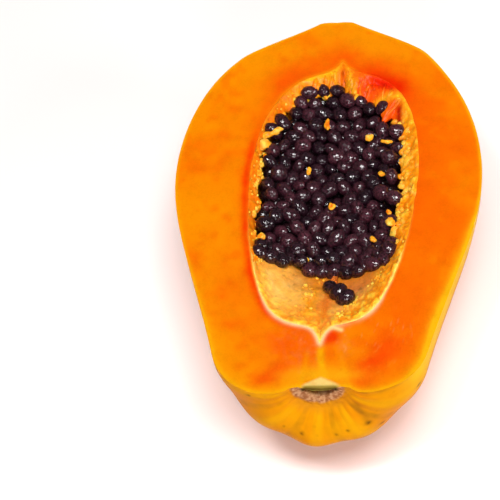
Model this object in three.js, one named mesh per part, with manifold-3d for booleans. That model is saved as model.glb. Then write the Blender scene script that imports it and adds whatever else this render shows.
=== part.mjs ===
// Half of a ripe papaya, cut lengthwise, with its heap of seeds still lying in the hollow.
//
// Millimetres, +Z up. The long axis of the fruit lies along Y with the stem end towards -Y, and
// the cut face is level and looks up. The half rests on a small flat spot under its belly, and the
// origin is the middle of its outer box, on the surface that it rests on.

import * as THREE from "three";
import { mergeVertices } from "three/addons/utils/BufferGeometryUtils.js";
import Module from "manifold-3d";

const wasm = await Module();
wasm.setup();

const { degToRad, lerp, smoothstep } = THREE.MathUtils;

// ---- Driving dimensions of the fruit (its own axis is Y, the cut plane is z = 0)

const HALF_WIDTH = 64.8; // radius at the widest place
const WIDEST_Y = 11; // the widest place lies nearer the blossom end
const BELLY_DEPTH = 1.08; // the half is this much deeper than its half width
const FLAT_SPOT_CUT = 1.5; // depth of the flat spot that the half rests on

const SHOULDER_Y = -99.6; // the foremost ring of the stem end
const SHOULDER_RING = 18.4; // radius of that ring
const SHOULDER_ROUND = 24.6; // radius of the rounding from the ring to the flank
const SHOULDER_TURN = degToRad(75); // angle that the rounding turns through
const FLANK_START = 41; // length of the curve's pull where the flank leaves the rounding
const FLANK_END = 28; // and where it meets the widest place

const BLOSSOM_HALF_LENGTH = 87.6; // half axis of the ellipse of the blossom end
const BLOSSOM_ELLIPSE_END = 0.77; // share of that half axis where the ellipse gives way to the tip
const BLOSSOM_TIP = [7.6, 98.8]; // radius and place of the small blunt tip
const TIP_START_PULL = 8.5; // the curve's pull where it leaves the ellipse
const TIP_END_PULL = [8, 5.5]; // and where it reaches the blunt tip, outwards and back
const TIP_ROUNDING = [3, 1]; // corner of the blunt tip: inwards and forwards
const TIP_RISE = 0.4; // its middle stands this much further out
const TIP_DRIFT = 2.4; // the tip lies this far to the +X side of the axis
const TIP_DRIFT_START = 62; // from here on

// ---- The stem end: shallow ribs round the scar of the stalk

const STEM_BULGE = 6.6; // how far the belly side of the stem end leans forward
const STEM_BULGE_REACH = 36; // length over which the lean dies away
const STEM_DRIFT = 0.7; // the stem end lies this far to the -X side of the axis
const RIBS_ROUND = 9; // ribs in a full turn
const RIB_CREST = degToRad(98.5); // direction of one crest, from +X downwards
const RIB_HEIGHT = 0.55; // half the height from groove to crest
const RIB_FORWARD = 0.8; // a crest stands forward by this share of its height
const RIB_REACH = 46; // length over which the ribs die away

const SCAR_RADIUS = 11.8; // corky ring that the stalk left
const SCAR_Y = -97.2;
const SCAR_TO_SHOULDER = 4; // length of the hollow curve from the ring to the shoulder
const SHAPING_START = 11.8; // the scar is round; belly, ribs and lean set in from this radius
const SHAPING_FULL = 29.5; // and are at their full height from this one
const SCAR_HOLE_RADIUS = 6.6; // hollow inside the ring
const SCAR_HOLE_EDGE_Y = -96.4;
const SCAR_HOLE_Y = -94.3;
const SCAR_FLOOR_RADIUS = 5.6;
const STUMP_RADIUS = 3.8; // low stump of the stalk's core in the middle of the hollow
const STUMP_Y = -95.6;
const LIP_Y = -97; // at the cut, a lip of flesh bridges the hollow of the scar
const LIP_BULGE = 1.2; // its middle bulges forward
const LIP_HALF_WIDTH = 7.4;
const LIP_THICKNESS = [0.4, 2.6]; // it is whole down to the first depth and gone at the second

// ---- The hollow that holds the seeds

const HOLLOW_Y = 11; // place of its widest section
const HOLLOW_X = 2.7; // its middle there
const HOLLOW_LEAN = 0.048; // the middle line drifts towards +X, per mm of Y
const HOLLOW_HALF_WIDTH = 35.6;
const HOLLOW_DEPTH = 38;
const NEAR_RIM = { reach: 78.5, along: 1.27, across: 0.57 }; // towards the stem end
const FAR_RIM = { reach: 56, along: 0.952, across: 0.69 }; // towards the blossom end
const CUSP_DEPTH = 9; // pointed notch where the halves of the rim meet at the stem end
const CUSP_WIDTH = 2.3;
const FLAME_DEPTH = 8; // pointed end towards the blossom end
const FLAME_WIDTH = 4.4;
const POINT_FADE = 8; // notch and pointed end fade inwards with this power of the share

// The wall falls as (1 - share ** swell) ** steepness from the middle (share 0) to the rim (1).
const LEFT_WALL = { swell: 2.6, steepness: 0.5 };
const RIGHT_WALL = { swell: 2, steepness: 0.7 };
const NEAR_SLOPE = { swell: 0.85, steepness: 1 };
const RIGHT_BLEND = [0, 0.8]; // range of the turn's cosine
const NEAR_BLEND = [0.2, 0.85]; // range of the turn's negative sine

// ---- The seeds

const SEED_HALF_LENGTH = 3.9;
const SEED_HALF_WIDTH = 3.35;
const SEED_SIZES = [0.84, 1.16]; // smallest and largest, as a share of the usual size
const SEED_TILT = 50; // a seed's long axis tilts by up to this many degrees either way
const SEED_SWING = 90; // and swings sideways by up to this many
const SEED_PITCH = 6.5; // spacing of the grid that the seeds start from
const SEED_JITTER = 3.6; // range over which each starting place moves
const SEED_LIFT = 2.8; // range of the seeds' own heights over the heap's surface
const SEED_CLOSEST = 6.2; // middles of two usual seeds lie at least this far apart
const GRID_ROWS = [-9, 12]; // rows along Y, counted from the middle of the hollow
const GRID_COLUMNS = [-7, 7];
const GRID_OFFSET = 20; // keeps the numbers of rows and columns above zero
const GRID_STRIDE = 40; // places are numbered row by row, this many to a row
const SETTLING_PASSES = 30;
const PUSH_SHARE = 0.3; // share of a pair's crowding that one pass takes away on each side
const PULL_SHARE = 0.25; // share of the way back to the heap's surface in one pass

const HEAP_RIM_DEPTH = 5.2; // the heap's edge lies this far below the cut
const HEAP_DISH = 7.6; // its middle lies this much lower
const HEAP_MARGIN = 4.2; // its outermost seeds keep off the rim by this much at the ends,
const HEAP_MARGIN_LEFT = 4.6; // this much on the -X side
const HEAP_MARGIN_RIGHT = 9.5; // and this much on the +X side
const HEAP_BAY_MARGIN = 3.5; // and by this much more in the torn bay of the wall
const HEAP_BAY_TURN = degToRad(70); // middle of the bay
const HEAP_BAY_SHARPNESS = 24; // power of the cosine with which the bay fades sideways
const HEAP_NEAR_Y = -32.6; // the heap ends here, the rest of the hollow is bare
const HEAP_NEAR_SKEW = 0.15; // and reaches further towards the stem end on the +X side
const HEAP_NEAR_SLOPE = 26; // over this length the heap sinks towards its near end
const HEAP_NEAR_DROP = 5.8; // by this much
const LYING_HEIGHT = 2.5; // a seed's middle lies this high over the wall it rests on
const STRAY_SEEDS = [
  [2.3, -44.4],
  [5.4, -48],
  [8.4, -52],
]; // a cluster of seeds on the bare floor, each touching the next
const STRAND_ENDS = [
  [2.4, -44],
  [3.6, -31],
]; // a low strand of pulp ties the cluster to the heap
const STRAND_HALF_WIDTH = 1.4;
const STRAND_LIFT = 0.7; // its middle lies this high over the floor
const CORE_BELOW_SEEDS = 1; // the core's surface lies this far below the seeds' middles
const FIT_GAP = 0.3; // clearance between the heap and the flesh
const FIT_SLANT = 1.4; // on a slanting wall the clearance counts for more, measured sideways

// ---- Numbers of facets

const BODY_SIDES = 80;
const CURVE_PIECES = 8; // of each long curve of the profile
const SHORT_CURVE_PIECES = 2;
const SMALLEST_STEP = 0.01; // points of the profile closer than this are one point
const HOLLOW_SIDES = 72;
const HOLLOW_RINGS = [0.3, 0.5, 0.66, 0.78, 0.87, 0.935, 0.975, 1];
const CORE_SIDES = 40;
const CORE_RINGS = [0.25, 0.5, 0.75, 1];
const SIDE_GATHERING = 0.4; // the hollow's sides are gathered towards its pointed ends
const ABOVE_CUT = 6; // cutters reach this far above the cut plane
const SEARCH_TURN = 0.9; // half range of the search for a spoke's turn
const SEARCH_STEPS = 26;

// ---- Small helpers

/** Repeatable value from 0 to 1 for a whole number and a channel. */
function chance(index, channel) {
  const wave = Math.sin(index * 12.9898 + channel * 78.233) * 43758.5453;
  return wave - Math.floor(wave);
}

/** Repeatable value that lies evenly round zero, over a range. */
function spread(range, index, channel) {
  return range * (chance(index, channel) - 0.5);
}

/** A closed geometry as a solid: shared vertices are merged and collapsed triangles dropped. */
function toSolid(geometry) {
  const bare = new THREE.BufferGeometry();
  bare.setAttribute("position", geometry.getAttribute("position"));
  bare.setIndex(geometry.index);
  const merged = mergeVertices(bare, 1e-4);
  const corners = merged.index.array;
  const kept = [];
  for (let i = 0; i < corners.length; i += 3) {
    const [a, b, c] = [corners[i], corners[i + 1], corners[i + 2]];
    if (a !== b && b !== c && c !== a) {
      kept.push(a, b, c);
    }
  }
  const mesh = new wasm.Mesh({
    numProp: 3,
    vertProperties: new Float32Array(merged.getAttribute("position").array),
    triVerts: new Uint32Array(kept),
  });
  return new wasm.Manifold(mesh);
}

/** A solid as a geometry with flat facets. */
function toGeometry(solid) {
  const mesh = solid.getMesh();
  const geometry = new THREE.BufferGeometry();
  geometry.setAttribute("position", new THREE.BufferAttribute(mesh.vertProperties, 3));
  geometry.setIndex(new THREE.BufferAttribute(mesh.triVerts, 1));
  geometry.computeVertexNormals();
  return geometry;
}

/** The block of space between two heights, wide enough to hold the fruit. */
function slab(bottom, top) {
  const block = new THREE.BoxGeometry(3 * HALF_WIDTH, 8 * HALF_WIDTH, top - bottom);
  block.translate(0, 0, (top + bottom) / 2);
  return toSolid(block);
}

/** Turns of the sides of a star body, gathered towards its two ends by a share. */
function sideTurns(sides, gathering) {
  const even = Array.from({ length: sides }, (_, side) => (2 * Math.PI * side) / sides);
  return even.map((turn) => turn + gathering * Math.sin(2 * turn));
}

/**
 * Closed body over a star-shaped outline: point(share, turn) gives the lower surface from the
 * middle (share 0) to the outline (share 1), and a wall goes straight up from there to a level lid.
 */
function starBody(point, rings, turns, lidHeight) {
  const sides = turns.length;
  const vertices = [point(0, 0)];
  for (const share of rings) {
    vertices.push(...turns.map((turn) => point(share, turn)));
  }
  for (const turn of turns) {
    vertices.push(point(1, turn).setZ(lidHeight));
  }
  vertices.push(point(0, 0).setZ(lidHeight));

  const lid = vertices.length - 1;
  const triangles = [];
  const at = (ring, side) => 1 + ring * sides + (side % sides);
  for (let side = 0; side < sides; side += 1) {
    triangles.push(0, at(0, side + 1), at(0, side));
    for (let ring = 0; ring < rings.length; ring += 1) {
      triangles.push(at(ring, side), at(ring, side + 1), at(ring + 1, side + 1));
      triangles.push(at(ring, side), at(ring + 1, side + 1), at(ring + 1, side));
    }
    triangles.push(lid, at(rings.length, side), at(rings.length, side + 1));
  }
  const geometry = new THREE.BufferGeometry().setFromPoints(vertices);
  geometry.setIndex(triangles);
  return toSolid(geometry);
}

// ---- The fruit's outer form

/** Adds the profile's first part to a path: stump, hole, ring and the curve up to the shoulder. */
function addScar(path) {
  path.moveTo(0, STUMP_Y);
  path.quadraticCurveTo(STUMP_RADIUS, STUMP_Y, STUMP_RADIUS, SCAR_HOLE_Y);
  path.lineTo(SCAR_FLOOR_RADIUS, SCAR_HOLE_Y);
  path.lineTo(SCAR_HOLE_RADIUS, SCAR_HOLE_EDGE_Y);
  path.lineTo(SCAR_RADIUS, SCAR_Y);
  path.quadraticCurveTo(SHOULDER_RING - SCAR_TO_SHOULDER, SHOULDER_Y, SHOULDER_RING, SHOULDER_Y);
}

/** Adds the rounding of the shoulder and the flank up to the widest place. */
function addFlank(path) {
  const shoulderY = SHOULDER_Y + SHOULDER_ROUND;
  const shoulderEnd = -Math.PI / 2 + SHOULDER_TURN;
  path.absarc(SHOULDER_RING, shoulderY, SHOULDER_ROUND, -Math.PI / 2, shoulderEnd);
  const start = new THREE.Vector2(Math.cos(shoulderEnd), Math.sin(shoulderEnd));
  start.multiplyScalar(SHOULDER_ROUND).add(new THREE.Vector2(SHOULDER_RING, shoulderY));
  const along = new THREE.Vector2(-Math.sin(shoulderEnd), Math.cos(shoulderEnd));
  const pull = along.multiplyScalar(FLANK_START).add(start);
  path.bezierCurveTo(pull.x, pull.y, HALF_WIDTH, WIDEST_Y - FLANK_END, HALF_WIDTH, WIDEST_Y);
}

/** Adds the ellipse of the blossom end and the small blunt tip. */
function addBlossomEnd(path) {
  const turn = Math.asin(BLOSSOM_ELLIPSE_END);
  path.absellipse(0, WIDEST_Y, HALF_WIDTH, BLOSSOM_HALF_LENGTH, 0, turn);
  const start = new THREE.Vector2(
    HALF_WIDTH * Math.cos(turn),
    WIDEST_Y + BLOSSOM_HALF_LENGTH * Math.sin(turn)
  );
  const along = new THREE.Vector2(
    -HALF_WIDTH * Math.sin(turn),
    BLOSSOM_HALF_LENGTH * Math.cos(turn)
  );
  const pull = along.setLength(TIP_START_PULL).add(start);
  const [radius, y] = BLOSSOM_TIP;
  const [pullOut, pullBack] = TIP_END_PULL;
  path.bezierCurveTo(pull.x, pull.y, radius + pullOut, y - pullBack, radius, y);
  const [cornerIn, cornerOut] = TIP_ROUNDING;
  path.quadraticCurveTo(radius - cornerIn, y + cornerOut, 0, y + TIP_RISE);
}

/** Outline from the middle of the stem end to the blossom end, as (radius, place) points. */
function profile() {
  const path = new THREE.Path();
  addScar(path);
  addFlank(path);
  addBlossomEnd(path);
  const points = [new THREE.Vector2(0, STUMP_Y)];
  for (const curve of path.curves) {
    const curvedPieces = curve.isQuadraticBezierCurve ? SHORT_CURVE_PIECES : CURVE_PIECES;
    const pieces = curve.isLineCurve ? 1 : curvedPieces;
    points.push(...curve.getPoints(pieces).slice(1));
  }
  const isNew = (point, order) => order === 0 || point.distanceTo(points[order - 1]) > SMALLEST_STEP;
  return points.filter(isNew);
}

/** Place along Y of a point of the scar: near the cut, a lip bridges the hole. */
function bridgeScar(vertex, radius) {
  const onLip = 1 - smoothstep(radius, LIP_HALF_WIDTH, LIP_HALF_WIDTH + 1);
  const nearCut = 1 - smoothstep(Math.abs(vertex.z), ...LIP_THICKNESS);
  const lip = LIP_Y - LIP_BULGE * Math.max(0, 1 - (radius / LIP_HALF_WIDTH) ** 2);
  return lerp(vertex.y, lip, vertex.y < 0 ? onLip * nearCut : 0);
}

/** Moves a point of the round body to the fruit's true form: deeper, ribbed and leaning. */
function shapeBody(vertex) {
  const radius = Math.hypot(vertex.x, vertex.z);
  const turn = Math.atan2(-vertex.z, vertex.x);
  const fromStem = vertex.y - SHOULDER_Y;
  const outside = smoothstep(radius, SHAPING_START, SHAPING_FULL);
  const ribFade = outside * Math.exp(-((fromStem / RIB_REACH) ** 2));
  const rib = RIB_HEIGHT * ribFade * Math.cos(RIBS_ROUND * (turn - RIB_CREST));
  const grown = radius > 0 ? (radius + rib) / radius : 1;
  const belly = lerp(1, BELLY_DEPTH, outside);
  const lean = outside * Math.exp(-((fromStem / STEM_BULGE_REACH) ** 2)) * Math.sin(turn) ** 2;
  const stemDrift = STEM_DRIFT * smoothstep(-vertex.y, 0, -SHOULDER_Y);
  const tipDrift = TIP_DRIFT * smoothstep(vertex.y, TIP_DRIFT_START, BLOSSOM_TIP[1]);
  vertex.y = bridgeScar(vertex, radius) - STEM_BULGE * lean - RIB_FORWARD * rib;
  vertex.x = vertex.x * grown - stemDrift + tipDrift;
  vertex.z *= grown * belly;
}

/** The whole fruit's skin, turned round its axis. */
function bodySolid() {
  const halfSide = Math.PI / BODY_SIDES;
  const lathe = new THREE.LatheGeometry(profile(), BODY_SIDES, halfSide);
  const position = lathe.getAttribute("position");
  const vertex = new THREE.Vector3();
  for (let i = 0; i < position.count; i += 1) {
    vertex.fromBufferAttribute(position, i);
    shapeBody(vertex);
    position.setXYZ(i, vertex.x, vertex.y, vertex.z);
  }
  return toSolid(lathe);
}

// ---- The hollow

/** Rounded rim of the hollow: turn 0 is its +X side, a quarter turn the blossom end. */
function roundRim(turn) {
  const across = Math.cos(turn);
  const along = Math.sin(turn);
  const shape = along < 0 ? NEAR_RIM : FAR_RIM;
  const y = Math.sign(along) * shape.reach * Math.abs(along) ** shape.along;
  const halfWidth = HOLLOW_HALF_WIDTH * Math.abs(across) ** shape.across;
  const x = HOLLOW_LEAN * y + Math.sign(across) * halfWidth;
  return new THREE.Vector2(HOLLOW_X + x, HOLLOW_Y + y);
}

/** How far the rim's notch at the stem end and its pointed blossom end reach past the round rim. */
function rimPoint(turn) {
  const isNear = Math.sin(turn) < 0;
  const shape = isNear ? NEAR_RIM : FAR_RIM;
  const sideways = HOLLOW_HALF_WIDTH * Math.abs(Math.cos(turn)) ** shape.across;
  const notch = CUSP_DEPTH * Math.exp(-sideways / CUSP_WIDTH);
  const flame = FLAME_DEPTH * Math.exp(-sideways / FLAME_WIDTH);
  return isNear ? -notch : flame;
}

/** Where a point lies in an outline: its share of the way out and the turn of its spoke. */
function locate(outline, x, y) {
  const wanted = Math.atan2(y - HOLLOW_Y, x - HOLLOW_X);
  let low = wanted - SEARCH_TURN;
  let high = wanted + SEARCH_TURN;
  for (let step = 0; step < SEARCH_STEPS; step += 1) {
    const turn = (low + high) / 2;
    const edge = outline(turn);
    const seen = Math.atan2(edge.y - HOLLOW_Y, edge.x - HOLLOW_X);
    if (Math.sin(seen - wanted) > 0) {
      high = turn;
    } else {
      low = turn;
    }
  }
  const edge = outline(low);
  const reach = Math.hypot(edge.x - HOLLOW_X, edge.y - HOLLOW_Y);
  return { share: Math.hypot(x - HOLLOW_X, y - HOLLOW_Y) / reach, turn: low };
}

/** Depth of the hollow at a share of the way from its middle to the rim. */
function hollowDepth(share, turn) {
  const near = smoothstep(-Math.sin(turn), ...NEAR_BLEND);
  const right = smoothstep(Math.cos(turn), ...RIGHT_BLEND);
  const blend = (key) => lerp(lerp(LEFT_WALL[key], RIGHT_WALL[key], right), NEAR_SLOPE[key], near);
  return HOLLOW_DEPTH * (1 - share ** blend("swell")) ** blend("steepness");
}

/** A point of the hollow's wall, moved inwards by a gap. The rim's points fade quickly inwards. */
function hollowPoint(share, turn, gap) {
  const middle = new THREE.Vector2(HOLLOW_X, HOLLOW_Y);
  const spoke = roundRim(turn).sub(middle);
  const shrunk = (spoke.length() - FIT_SLANT * gap) / spoke.length();
  const place = spoke.multiplyScalar(share * shrunk).add(middle);
  const past = rimPoint(turn) * share ** POINT_FADE;
  return new THREE.Vector3(place.x, place.y + past * shrunk, gap - hollowDepth(share, turn));
}

function hollowSolid(gap) {
  const turns = sideTurns(HOLLOW_SIDES, SIDE_GATHERING);
  return starBody((share, turn) => hollowPoint(share, turn, gap), HOLLOW_RINGS, turns, ABOVE_CUT);
}

// ---- The heap of seeds

/** Edge of the heap, through the middles of its outermost seeds. */
function heapEdge(turn) {
  const middle = new THREE.Vector2(HOLLOW_X, HOLLOW_Y);
  const spoke = roundRim(turn).sub(middle);
  const side = Math.cos(turn);
  const inBay = Math.max(0, Math.cos(turn - HEAP_BAY_TURN)) ** HEAP_BAY_SHARPNESS;
  const sideMargin = side > 0 ? HEAP_MARGIN_RIGHT : HEAP_MARGIN_LEFT;
  const margin = lerp(HEAP_MARGIN, sideMargin, Math.abs(side)) + HEAP_BAY_MARGIN * inBay;
  let reach = (spoke.length() - margin) / spoke.length();
  // The near edge is a slanting line across the hollow.
  const towardsNear = -spoke.y - HEAP_NEAR_SKEW * spoke.x;
  if (towardsNear > 0) {
    reach = Math.min(reach, (HOLLOW_Y - HEAP_NEAR_Y) / towardsNear);
  }
  return spoke.multiplyScalar(reach).add(middle);
}

/** Height of a seed's middle when the seed lies on the bare wall of the hollow. */
function lyingHeight(x, y) {
  const { share, turn } = locate(roundRim, x, y);
  return LYING_HEIGHT - hollowDepth(Math.min(share, 1), turn);
}

/** Height of the heap's surface: a dish that sinks towards the bare end. */
function heapHeight(share, y) {
  const near = smoothstep(HEAP_NEAR_Y + HEAP_NEAR_SLOPE - y, 0, HEAP_NEAR_SLOPE);
  return -HEAP_RIM_DEPTH - HEAP_DISH * (1 - share * share) * (1 - near) - HEAP_NEAR_DROP * near;
}

function seedSize(number) {
  return lerp(...SEED_SIZES, chance(number, 4));
}

/** Places of a jittered triangular grid that lie inside the heap's edge. */
function startingPlaces() {
  const places = [];
  const rowPitch = SEED_PITCH * Math.sqrt(0.75);
  const [firstRow, lastRow] = GRID_ROWS;
  const [firstColumn, lastColumn] = GRID_COLUMNS;
  for (let row = firstRow; row <= lastRow; row += 1) {
    for (let column = firstColumn; column <= lastColumn; column += 1) {
      const number = (row + GRID_OFFSET) * GRID_STRIDE + column + GRID_OFFSET;
      const shift = row % 2 ? 0.5 : 0;
      const x = (column + shift) * SEED_PITCH + spread(SEED_JITTER, number, 1);
      const y = HOLLOW_Y + row * rowPitch + spread(SEED_JITTER, number, 2);
      if (locate(heapEdge, x, y).share < 1) {
        places.push(new THREE.Vector3(x, y, 0));
      }
    }
  }
  return places;
}

/** Middles of the seeds: the starting places, pushed apart until no two seeds crowd. */
function seedMiddles() {
  const seeds = startingPlaces();
  seeds.forEach((seed, number) => {
    seed.size = seedSize(number);
    seed.lift = spread(SEED_LIFT, number, 3);
    seed.z = heapHeight(locate(heapEdge, seed.x, seed.y).share, seed.y) + seed.lift;
  });
  for (let pass = 0; pass < SETTLING_PASSES; pass += 1) {
    settle(seeds);
  }
  return seeds;
}

/** One round of pushing crowded seeds apart and pulling them back to the heap's surface. */
function settle(seeds) {
  const push = new THREE.Vector3();
  const shifts = seeds.map(() => new THREE.Vector3());
  for (let i = 0; i < seeds.length; i += 1) {
    for (let j = i + 1; j < seeds.length; j += 1) {
      push.subVectors(seeds[i], seeds[j]);
      const apart = push.length();
      const closest = (SEED_CLOSEST * (seeds[i].size + seeds[j].size)) / 2;
      if (apart < closest) {
        push.multiplyScalar((PUSH_SHARE * (closest - apart)) / apart);
        shifts[i].add(push);
        shifts[j].sub(push);
      }
    }
  }
  seeds.forEach((seed, number) => {
    seed.add(shifts[number]);
    const { share } = locate(heapEdge, seed.x, seed.y);
    if (share > 1) {
      seed.x = HOLLOW_X + (seed.x - HOLLOW_X) / share;
      seed.y = HOLLOW_Y + (seed.y - HOLLOW_Y) / share;
    }
    const wanted = heapHeight(Math.min(share, 1), seed.y) + seed.lift;
    seed.z = Math.max(lerp(seed.z, wanted, PULL_SHARE), lyingHeight(seed.x, seed.y));
  });
}

/** Middles of the seeds that lie apart on the bare floor. */
function strayMiddles() {
  return STRAY_SEEDS.map(([x, y]) => new THREE.Vector3(x, y, lyingHeight(x, y)));
}

/** One seed: a plump grain, turned and sized by its number. */
function seedSolid(middle, number) {
  const grain = new THREE.IcosahedronGeometry(1, 0);
  const size = seedSize(number);
  grain.scale(SEED_HALF_WIDTH * size, SEED_HALF_LENGTH * size, SEED_HALF_WIDTH * size);
  grain.rotateX(degToRad(spread(2 * SEED_TILT, number, 5)));
  grain.rotateZ(degToRad(spread(2 * SEED_SWING, number, 6)));
  grain.translate(middle.x, middle.y, middle.z);
  return toSolid(grain);
}

/** Low strand of pulp on the floor: a stretched grain between its two ends. */
function strandSolid() {
  const floorPoint = ([x, y]) => new THREE.Vector3(x, y, lyingHeight(x, y) - LYING_HEIGHT + STRAND_LIFT);
  const [near, far] = STRAND_ENDS.map(floorPoint);
  const along = new THREE.Vector3().subVectors(far, near);
  const strand = new THREE.IcosahedronGeometry(1, 1);
  strand.scale(STRAND_HALF_WIDTH, along.length() / 2, STRAND_HALF_WIDTH);
  strand.rotateX(Math.asin(along.z / along.length()));
  strand.rotateZ(Math.atan2(-along.x, along.y));
  strand.translate((near.x + far.x) / 2, (near.y + far.y) / 2, (near.z + far.z) / 2);
  return toSolid(strand);
}

/** Filling below the seeds, a little inside the heap's edge. */
function coreSolid() {
  const middle = new THREE.Vector2(HOLLOW_X, HOLLOW_Y);
  const point = (share, turn) => {
    const edge = heapEdge(-turn).sub(middle).multiplyScalar(share).add(middle);
    const height = Math.max(heapHeight(share, edge.y), lyingHeight(edge.x, edge.y));
    return new THREE.Vector3(edge.x, -edge.y, CORE_BELOW_SEEDS - height);
  };
  // The star body hangs its lid upwards, so the core is made upside down and turned over.
  const upsideDown = starBody(point, CORE_RINGS, sideTurns(CORE_SIDES, 0), 2 * HOLLOW_DEPTH);
  return upsideDown.rotate([180, 0, 0]);
}

function heapSolid() {
  const middles = [...seedMiddles(), ...strayMiddles()];
  let heap = coreSolid().add(strandSolid());
  middles.forEach((middle, number) => {
    heap = heap.add(seedSolid(middle, number));
  });
  return heap.intersect(hollowSolid(FIT_GAP));
}

// ---- The two pieces, stood on their flat spot

function fruitSolid() {
  const restHeight = -HALF_WIDTH * BELLY_DEPTH + FLAT_SPOT_CUT;
  return bodySolid()
    .subtract(hollowSolid(0))
    .subtract(slab(0, 4 * HALF_WIDTH))
    .subtract(slab(-4 * HALF_WIDTH, restHeight));
}

function pieceMesh(name, solid, look) {
  const mesh = new THREE.Mesh(toGeometry(solid), new THREE.MeshStandardMaterial(look));
  mesh.name = name;
  return mesh;
}

const papaya = new THREE.Group();
papaya.add(pieceMesh("fruit", fruitSolid(), { color: 0xf98b12, roughness: 0.42, metalness: 0 }));
papaya.add(pieceMesh("seeds", heapSolid(), { color: 0x2a1a1d, roughness: 0.25, metalness: 0 }));

const outer = new THREE.Box3().setFromObject(papaya);
papaya.position.set(-(outer.min.x + outer.max.x) / 2, -(outer.min.y + outer.max.y) / 2, -outer.min.z);

export default papaya;
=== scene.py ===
# %% [markdown]
# # Half a papaya with its seeds
# A ripe papaya is cut lengthwise and laid on its belly. The cut shows orange flesh, and in its
# middle a boat-shaped hollow that holds a heap of dark wet seeds. Nothing on it moves, so the whole
# lesson is about two things: working a closed organic form out of a few formulas, and painting
# living matter, which never has one even colour.

import math

import bpy
import numpy as np
from mathutils import Matrix, Vector


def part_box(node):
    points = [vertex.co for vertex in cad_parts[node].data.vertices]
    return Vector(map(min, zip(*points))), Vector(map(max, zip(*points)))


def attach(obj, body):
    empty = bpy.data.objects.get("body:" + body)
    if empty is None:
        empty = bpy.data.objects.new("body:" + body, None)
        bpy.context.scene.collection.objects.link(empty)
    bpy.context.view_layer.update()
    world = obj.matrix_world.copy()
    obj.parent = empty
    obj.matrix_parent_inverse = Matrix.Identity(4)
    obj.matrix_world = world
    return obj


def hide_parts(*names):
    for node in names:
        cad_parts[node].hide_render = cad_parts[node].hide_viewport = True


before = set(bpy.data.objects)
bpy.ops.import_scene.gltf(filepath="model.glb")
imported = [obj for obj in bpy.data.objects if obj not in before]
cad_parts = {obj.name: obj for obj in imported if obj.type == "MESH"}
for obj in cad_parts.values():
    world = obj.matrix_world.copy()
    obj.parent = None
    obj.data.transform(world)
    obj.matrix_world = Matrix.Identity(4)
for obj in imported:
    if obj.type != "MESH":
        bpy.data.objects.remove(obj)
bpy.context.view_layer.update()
fruit_low, fruit_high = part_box("fruit")
print("fruit", [round(1000 * side, 1) for side in fruit_high - fruit_low], "mm")

# %% [markdown]
# ## Dimensions
# All shapes are worked out in millimetres in the fruit's own frame: its axis is Y with the stem
# end towards -Y, and the cut is the plane z = 0. One shift at the very end puts them on the table.
# The numbers are those of the solid part, so that the dressed fruit keeps the solid's form.

# %% Outer form
HALF_WIDTH = 64.8
WIDEST_Y = 11
BLOSSOM_HALF_LENGTH = 87.6
BLOSSOM_ELLIPSE_END = 0.77
BLOSSOM_TIP = (7.6, 98.8)
TIP_LEAD = 8.5
TIP_FLARE = (8, -5.5)
TIP_CAP = (-3, 1)
TIP_CAP_HEIGHT = 0.4
SHOULDER_Y = -99.6
SHOULDER_RING = 18.4
SHOULDER_ROUND = 24.6
SHOULDER_TURN = math.radians(75)
FLANK_START = 41
FLANK_END = 28
BELLY_DEPTH = 1.08
STEM_BULGE = 6.6
STEM_BULGE_REACH = 36
STEM_DRIFT = 0.7
RIBS_ROUND = 9
CREASES_ROUND = 31
RIB_CREST = math.radians(98.5)
RIB_HEIGHT = 0.55
RIB_REACH = 46
REST_HEIGHT = 1.5 - HALF_WIDTH * BELLY_DEPTH
SCAR_RADIUS = 11.8
SCAR_Y = -97.2
SCAR_HOLE_RADIUS = 6.6
SCAR_HOLE_Y = -94.3
SCAR_HOLE_EDGE_Y = -96.4
SCAR_FLOOR_RADIUS = 5.6
STUMP_RADIUS = 3.8
STUMP_Y = -95.6
LIP_Y = -97
LIP_BULGE = 1.2
LIP_HALF_WIDTH = 7.4
LIP_THICKNESS = (0.4, 2.6)
TIP_DRIFT = 2.4
TIP_DRIFT_START = 62

# %% The hollow
MIDDLE_X, MIDDLE_Y = 2.7, 11
HOLLOW_LEAN = 0.048
HOLLOW_HALF_WIDTH = 35.6
HOLLOW_DEPTH = 38
NEAR_REACH, NEAR_ALONG, NEAR_ACROSS = 78.5, 1.27, 0.57
FAR_REACH, FAR_ALONG, FAR_ACROSS = 56, 0.952, 0.69
CUSP_DEPTH, CUSP_WIDTH = 9, 2.3
FLAME_DEPTH, FLAME_WIDTH = 8, 4.4
POINT_FADE = 8
SEARCH_RANGE, HALVINGS = 0.9, 26

# %% Small helpers: blends and repeatable noise
NOISE_SHIFT = 1000.37


def smoothstep(value, low, high):
    """Rises from 0 to 1 between low and high, level at both ends: 3t^2 - 2t^3."""
    share = np.clip((value - low) / (high - low), 0, 1)
    return share * share * (3 - 2 * share)


def window(value, rise, fall):
    """1 inside a range whose two ends fade: it rises between two values, falls between two more."""
    return smoothstep(value, *rise) * (1 - smoothstep(value, *fall))


def lerp(start, end, share):
    """Straight blend from start to end."""
    return start + (end - start) * share


def chance(index, channel):
    """Repeatable value from 0 to 1: the fraction of a large multiple of a sine."""
    wave = np.sin(index * 12.9898 + channel * 78.233) * 43758.5453
    return wave - np.floor(wave)


def lattice(cells, seed):
    """Random value from 0 to 1 at whole-number lattice points, from their mixed-up digits."""
    mixed = cells.astype(np.uint64) * np.array([73856093, 19349663, 83492791], np.uint64)
    code = (mixed[..., 0] ^ mixed[..., 1] ^ mixed[..., 2]) + np.uint64(seed * 2654435761)
    code = (code ^ (code >> np.uint64(13))) * np.uint64(1274126177)
    code = code ^ (code >> np.uint64(16))
    return (code & np.uint64(0xFFFFFF)).astype(float) / 0xFFFFFF


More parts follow.
